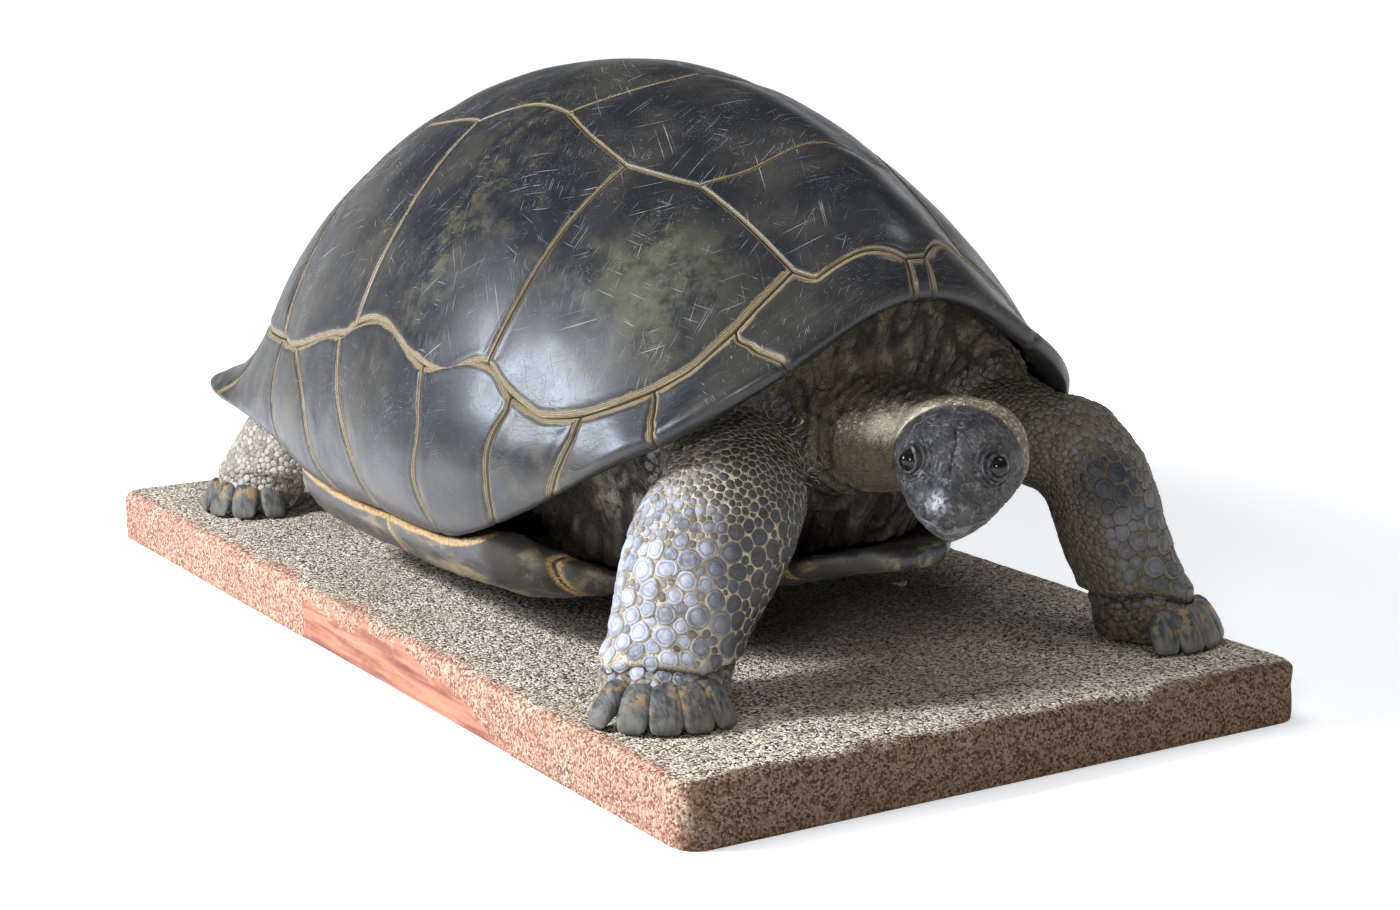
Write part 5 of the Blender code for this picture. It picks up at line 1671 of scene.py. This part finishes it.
def scale_finish():
    """Blue-grey horn scales with a paler worn rim and a faint ring, each its own tone, with painted light and
    painted shade on the two sides of the near foreleg.
    """
    f = Finish("scale_horn", Specular_IOR_Level=0.5)
    tone, out, size = f.field("tone"), f.field("out"), f.field("size")
    x, y, _ = f.parts()
    blotch = f.noise(150.0, 4.0, 0.65)
    fine = f.noise(520.0, 3.0, 0.7)
    grey = f.mix(tone, (0.040, 0.042, 0.050), (0.165, 0.170, 0.190))
    grey = f.tint(grey, (0.270, 0.275, 0.300), f.ramp(blotch, 0.42, 0.68), 0.6)
    # painted light: paler scales on the near foreleg's outer side, towards the key lamp
    painted_light = f.times(f.ramp(x, -0.180, -0.250), f.ramp(tone, 0.0, 0.9, 0.30, 0.85))
    grey = f.tint(grey, (0.400, 0.410, 0.470), painted_light, f.ramp(blotch, 0.35, 0.60, 0.6, 1.0))
    brown = f.mix(tone, (0.060, 0.044, 0.025), (0.175, 0.138, 0.086))
    small = f.ramp(size, 0.0050, 0.0032)
    grey = f.tint(grey, brown, small, 0.75)
    hind = f.ramp(y, 0.1, 0.2)
    tan_scale = f.mix(tone, (0.140, 0.125, 0.105), (0.400, 0.370, 0.330))
    grey = f.tint(grey, tan_scale, hind, 0.8)
    # painted shade on the near foreleg's side away from the key lamp, partly the scales' own darker tone
    shade_side = f.ramp(f.minus(f.times(x, 0.85), f.times(y, 0.52)), 0.064, 0.112)
    grey = f.tint(grey, (0.020, 0.019, 0.018), shade_side, f.ramp(x, 0.0, -0.05), 0.88)
    far_side = f.ramp(x, 0.05, 0.10)
    grey = f.tint(grey, (0.034, 0.028, 0.018), far_side, 0.60)
    grey = f.tint(grey, (0.007, 0.007, 0.008), f.near(KNEE_SPOT, 0.022, 0.042), 0.95)
    rim = f.ramp(out, 0.92, 1.0)
    grey = f.tint(grey, (0.380, 0.325, 0.220), rim, f.minus(0.75, f.times(far_side, 0.45)))
    ring_ = f.times(f.ramp(out, 0.56, 0.64), f.ramp(out, 0.74, 0.68))
    grey = f.tint(grey, (0.030, 0.028, 0.028), ring_, 0.45)
    return f.made(grey, f.ramp(blotch, 0.3, 0.7, 0.38, 0.58), f.bump(f.plus(fine, blotch), 0.0006))


def claw_finish():
    """Dark grey-brown claws with ochre patches, banded along and paler at the worn tip."""
    f = Finish("claw_horn", Specular_IOR_Level=0.35)
    share, tone = f.field("share"), f.field("tone")
    blotch = f.noise(70.0, 4.0, 0.6)
    streak = f.noise(150.0, 3.0, 0.6, 0.2, f.stretched((1.6, 0.5, 0.5), (0.0, 0.0, 0.45)))
    fine = f.noise(500.0, 3.0)
    base = f.mix(f.ramp(streak, 0.35, 0.65), (0.026, 0.027, 0.029), (0.100, 0.098, 0.090))
    base = f.tint(base, (0.130, 0.120, 0.100), tone, 0.25)
    ochre = f.times(f.ramp(blotch, 0.52, 0.60), f.ramp(share, 0.9, 0.55))
    base = f.tint(base, (0.240, 0.150, 0.060), ochre, 0.7)
    base = f.tint(base, (0.160, 0.145, 0.115), f.ramp(share, 0.80, 1.0), 0.35)
    base = f.tint(base, (0.300, 0.250, 0.170), f.ramp(share, 0.14, 0.0), 0.6)
    height = f.plus(streak, f.times(fine, 0.4))
    return f.made(base, f.ramp(streak, 0.3, 0.7, 0.36, 0.54), f.bump(height, 0.0009))


def horn_of_face():
    """The dark, glossy, chipped sheath of the upper jaw."""
    f = Finish("face_horn", Specular_IOR_Level=0.55, Coat_Weight=0.2, Coat_Roughness=0.2)
    blotch = f.noise(95.0, 5.0, 0.7)
    fine = f.noise(480.0, 3.0, 0.7)
    base = f.mix(f.ramp(blotch, 0.35, 0.68), (0.020, 0.020, 0.024), (0.085, 0.082, 0.078))
    base = f.tint(base, (0.240, 0.235, 0.220), f.ramp(fine, 0.58, 0.74), 0.5)
    height = f.plus(blotch, f.times(fine, 0.5))
    return f.made(base, f.ramp(blotch, 0.3, 0.7, 0.26, 0.44), f.bump(height, 0.0009))


def eye_finish():
    """A glossy, near-black eye with a trace of brown."""
    f = Finish("eye_glass", Roughness=0.10, Specular_IOR_Level=0.32)
    brown = f.ramp(f.noise(240.0, 3.0), 0.4, 0.7)
    f.fill(f.shader, Base_Color=f.mix(brown, (0.003, 0.003, 0.004), (0.013, 0.008, 0.005)))
    return f.material


# ---------------------------------------------------------------- board
BOARD_HALF = (0.350, 0.6875)
BOARD_CORNER = 0.026
BOARD_EDGE = 0.010
BOARD_POINTS = 720  # round each loop
BOARD_STEP = 0.0055
# The bare wood on the right flank: how high it reaches at places along y
BARE_PATCH = ((0.105, 0.046), (0.040, 0.044), (-0.140, 0.050), (-0.280, 0.030), (-0.375, 0.004))


def board_loop(inset):
    """A rounded rectangle this far inside the board's plan."""
    half = np.array(BOARD_HALF) - inset
    corner = max(BOARD_CORNER - inset, 0.0012)
    points = []
    for index, (sx, sy) in enumerate(((1, -1), (1, 1), (-1, 1), (-1, -1))):
        middle = (half - corner) * (sx, sy)
        turns = np.linspace(0, pi / 2, 8) + (index - 1) * pi / 2
        points.append(middle + corner * np.column_stack([np.cos(turns), np.sin(turns)]))
    return even_loop(np.vstack(points), BOARD_POINTS)


def even_loop(loop, count):
    closed = np.vstack([loop, loop[:1]])
    length = np.concatenate([[0], np.cumsum(np.linalg.norm(np.diff(closed, axis=0), axis=1))])
    even = np.linspace(0, length[-1], count, endpoint=False)
    return np.column_stack([np.interp(even, length, closed[:, i]) for i in (0, 1)])


def add_board():
    rows = [(0.012, 0.0), (0.0015, 0.0), (0.0, 0.0015)]
    rows += [(0.0, z) for z in np.linspace(0.005, BOARD_THICK - BOARD_EDGE, 12)]
    for turn in np.linspace(0, pi / 2, 7)[1:]:
        rows.append((BOARD_EDGE * (1 - cos(turn)), BOARD_THICK - BOARD_EDGE * (1 - sin(turn))))
    rows += [(inset, BOARD_THICK) for inset in np.arange(0.015, 0.350, BOARD_STEP)]
    points = np.vstack([np.column_stack([board_loop(inset), np.full(BOARD_POINTS, z)]) for inset, z in rows])
    faces = grid_faces(len(rows), BOARD_POINTS, closed=True)
    faces += [tuple(range(BOARD_POINTS)), tuple(range(len(points) - 1, len(points) - BOARD_POINTS - 1, -1))]
    along, high = np.array(BARE_PATCH[::-1]).T
    top = np.interp(points[:, 1], along, high, -1, -1)
    ragged = 0.006 * ripple(points, 0.03, 41) + 0.003 * ripple(points, 0.012, 42)
    bare = ease((top + ragged - points[:, 2]) / 0.004) * (points[:, 0] < -0.347)
    way = unit((points - (0.0, 0.0, 0.03)) * (1, 1, 6))
    rough = 0.00045 * ripple(points, 0.02, 43) + 0.0003 * ripple(points, 0.009, 44)
    side = ease(points[:, 2] / 0.01)
    points = points + way * (rough * side - 0.0012 * bare)[:, None]
    points[:, 2] = np.maximum(points[:, 2], 0)
    return faced_away(add_mesh("board", points, faces, sand_finish(), "sand", ["base_board"], bare=bare))


LEAF_PLACE = (0.195, -0.240)
LEAF_SIZE = (0.0085, 0.0060)
LEAF_ROWS = ((1.0, 0.0004), (1.0, 0.0013), (0.72, 0.0021), (0.35, 0.0024))  # share of its size, height


def add_leaf():
    """The pale dry flake that lies on the sand."""
    turns = np.linspace(0, 2 * pi, 24, endpoint=False)
    rough = 1 + 0.18 * np.sin(3 * turns + 0.6) + 0.10 * np.sin(7 * turns)
    edge = np.column_stack([np.cos(turns), np.sin(turns)]) * LEAF_SIZE * rough[:, None]
    loops = []
    for share, height in LEAF_ROWS:
        curl = BOARD_THICK + height + 0.0016 * (share * np.cos(turns)) ** 2
        loops.append(np.column_stack([edge * share + LEAF_PLACE, curl]))
    faces = grid_faces(len(loops), 24, closed=True) + [tuple(range(24)), tuple(range(95, 71, -1))]
    f = Finish("leaf", Roughness=0.8)
    f.fill(f.shader, Base_Color=f.mix(f.noise(260.0, 3.0), (0.520, 0.500, 0.410), (0.820, 0.800, 0.700)))
    return faced_away(add_mesh("leaf_chip", np.vstack(loops), faces, f.material, "sand"))


# ---------------------------------------------------------------- camera, light and floor
CAMERA_PLACE = (-1.41197, -2.4374, 0.76174)
CAMERA_YAW, CAMERA_PITCH, CAMERA_ROLL = 0.5524, 0.2030, -0.0053
LENS = 66.86  # for a sensor 36 wide


def add_camera():
    view = bpy.data.cameras.new("camera")
    view.lens = LENS
    view.sensor_width = 36.0
    view.clip_end = 60.0
    turn = Matrix.Rotation(-CAMERA_YAW, 4, "Z") @ Matrix.Rotation(pi / 2 - CAMERA_PITCH, 4, "X")
    obj = placed("camera", view)
    obj.matrix_world = Matrix.Translation(CAMERA_PLACE) @ turn @ Matrix.Rotation(CAMERA_ROLL, 4, "Z")
    bpy.context.scene.camera = obj


FLOOR_RADIUS = 3.2
SKY_COLOUR = (0.95, 0.975, 1.0, 1.0)
SKY_FADE = {"From Min": 0.00, "From Max": 0.30, "To Min": 1.05, "To Max": 0.10}  # its strength, by height
LAMPS = (  # name, place, aimed at, size, watts, colour, mirrored in glossy surfaces
    ("key", (-1.85, 0.42, 1.22), (-0.10, -0.30, 0.28), (0.62, 0.58), 40, (0.74, 0.83, 1.0), True),
    ("key_body", (-1.95, 0.25, 1.45), (-0.05, -0.35, 0.20), (0.30, 0.30), 82, (0.92, 0.95, 1.0), False),
    ("front_left", (-1.7, -2.2, 1.15), (0.0, -0.45, 0.30), (0.5, 0.4), 19, (0.93, 0.96, 1.0), True),
    ("sheen", (0.83, -0.87, 2.25), (0.0, -0.35, 0.45), (0.7, 0.7), 9, (0.80, 0.87, 1.0), True),
    ("top", (-0.1, 0.1, 2.6), (0.0, 0.0, 0.2), (1.5, 1.5), 32, (0.94, 0.97, 1.0), False),
    ("front", (0.6, -3.0, 1.8), (0.1, -0.5, 0.10), (1.2, 0.8), 12, (1.0, 0.95, 0.88), False),
)


def add_sky():
    world = bpy.data.worlds.new("studio")
    world.use_nodes = True
    tree = world.node_tree
    way = tree.nodes.new("ShaderNodeTexCoord")
    split = tree.nodes.new("ShaderNodeSeparateXYZ")
    fade = tree.nodes.new("ShaderNodeMapRange")
    tree.links.new(way.outputs["Generated"], split.inputs[0])
    tree.links.new(split.outputs["Z"], fade.inputs["Value"])
    for socket, value in SKY_FADE.items():
        fade.inputs[socket].default_value = value
    tree.links.new(fade.outputs["Result"], tree.nodes["Background"].inputs["Strength"])
    tree.nodes["Background"].inputs["Color"].default_value = SKY_COLOUR
    bpy.context.scene.world = world
    bpy.context.scene.view_settings.view_transform = "Standard"


def add_lamps():
    for name, place, aim, size, watts, colour, mirrored in LAMPS:
        lamp = bpy.data.lights.new(name, "AREA")
        lamp.shape = "RECTANGLE"
        lamp.size, lamp.size_y = size
        lamp.energy = watts
        lamp.color = colour
        obj = placed(name, lamp)
        obj.location = place
        obj.visible_glossy = mirrored
        obj.rotation_euler = (Vector(aim) - Vector(place)).to_track_quat("-Z", "Y").to_euler()


def add_floor():
    pale = Finish("pale_floor", Roughness=0.9, Emission_Color=(1, 1, 1, 1))
    near_board = pale.near((0.0, 0.0, 0.0), 0.8, 1.7)
    glow = pale.minus(1.0, pale.times(near_board, 0.68))
    grey = pale.mix(pale.noise(3.0), (0.86, 0.86, 0.86), (0.88, 0.88, 0.88))
    pale.fill(pale.shader, Base_Color=grey, Emission_Strength=glow)
    turns = np.linspace(0, 2 * pi, 64, endpoint=False)
    points = np.column_stack([FLOOR_RADIUS * np.cos(turns), FLOOR_RADIUS * np.sin(turns), np.zeros(64)])
    add_mesh("floor", points, [tuple(range(64))], pale.material)


add_camera()
add_sky()
add_lamps()
add_floor()
HORN = horn_finish()
EYE_GLASS = eye_finish()
CLAW_HORN = claw_finish()
SCALE_HORN = scale_finish()
add_carapace()
add_plastron()
add_board()
add_leaf()
SKIN = add_skin()
add_beak(SKIN)
add_eyes()
add_claws()
add_all_scales(SKIN)

bpy.context.view_layer.update()
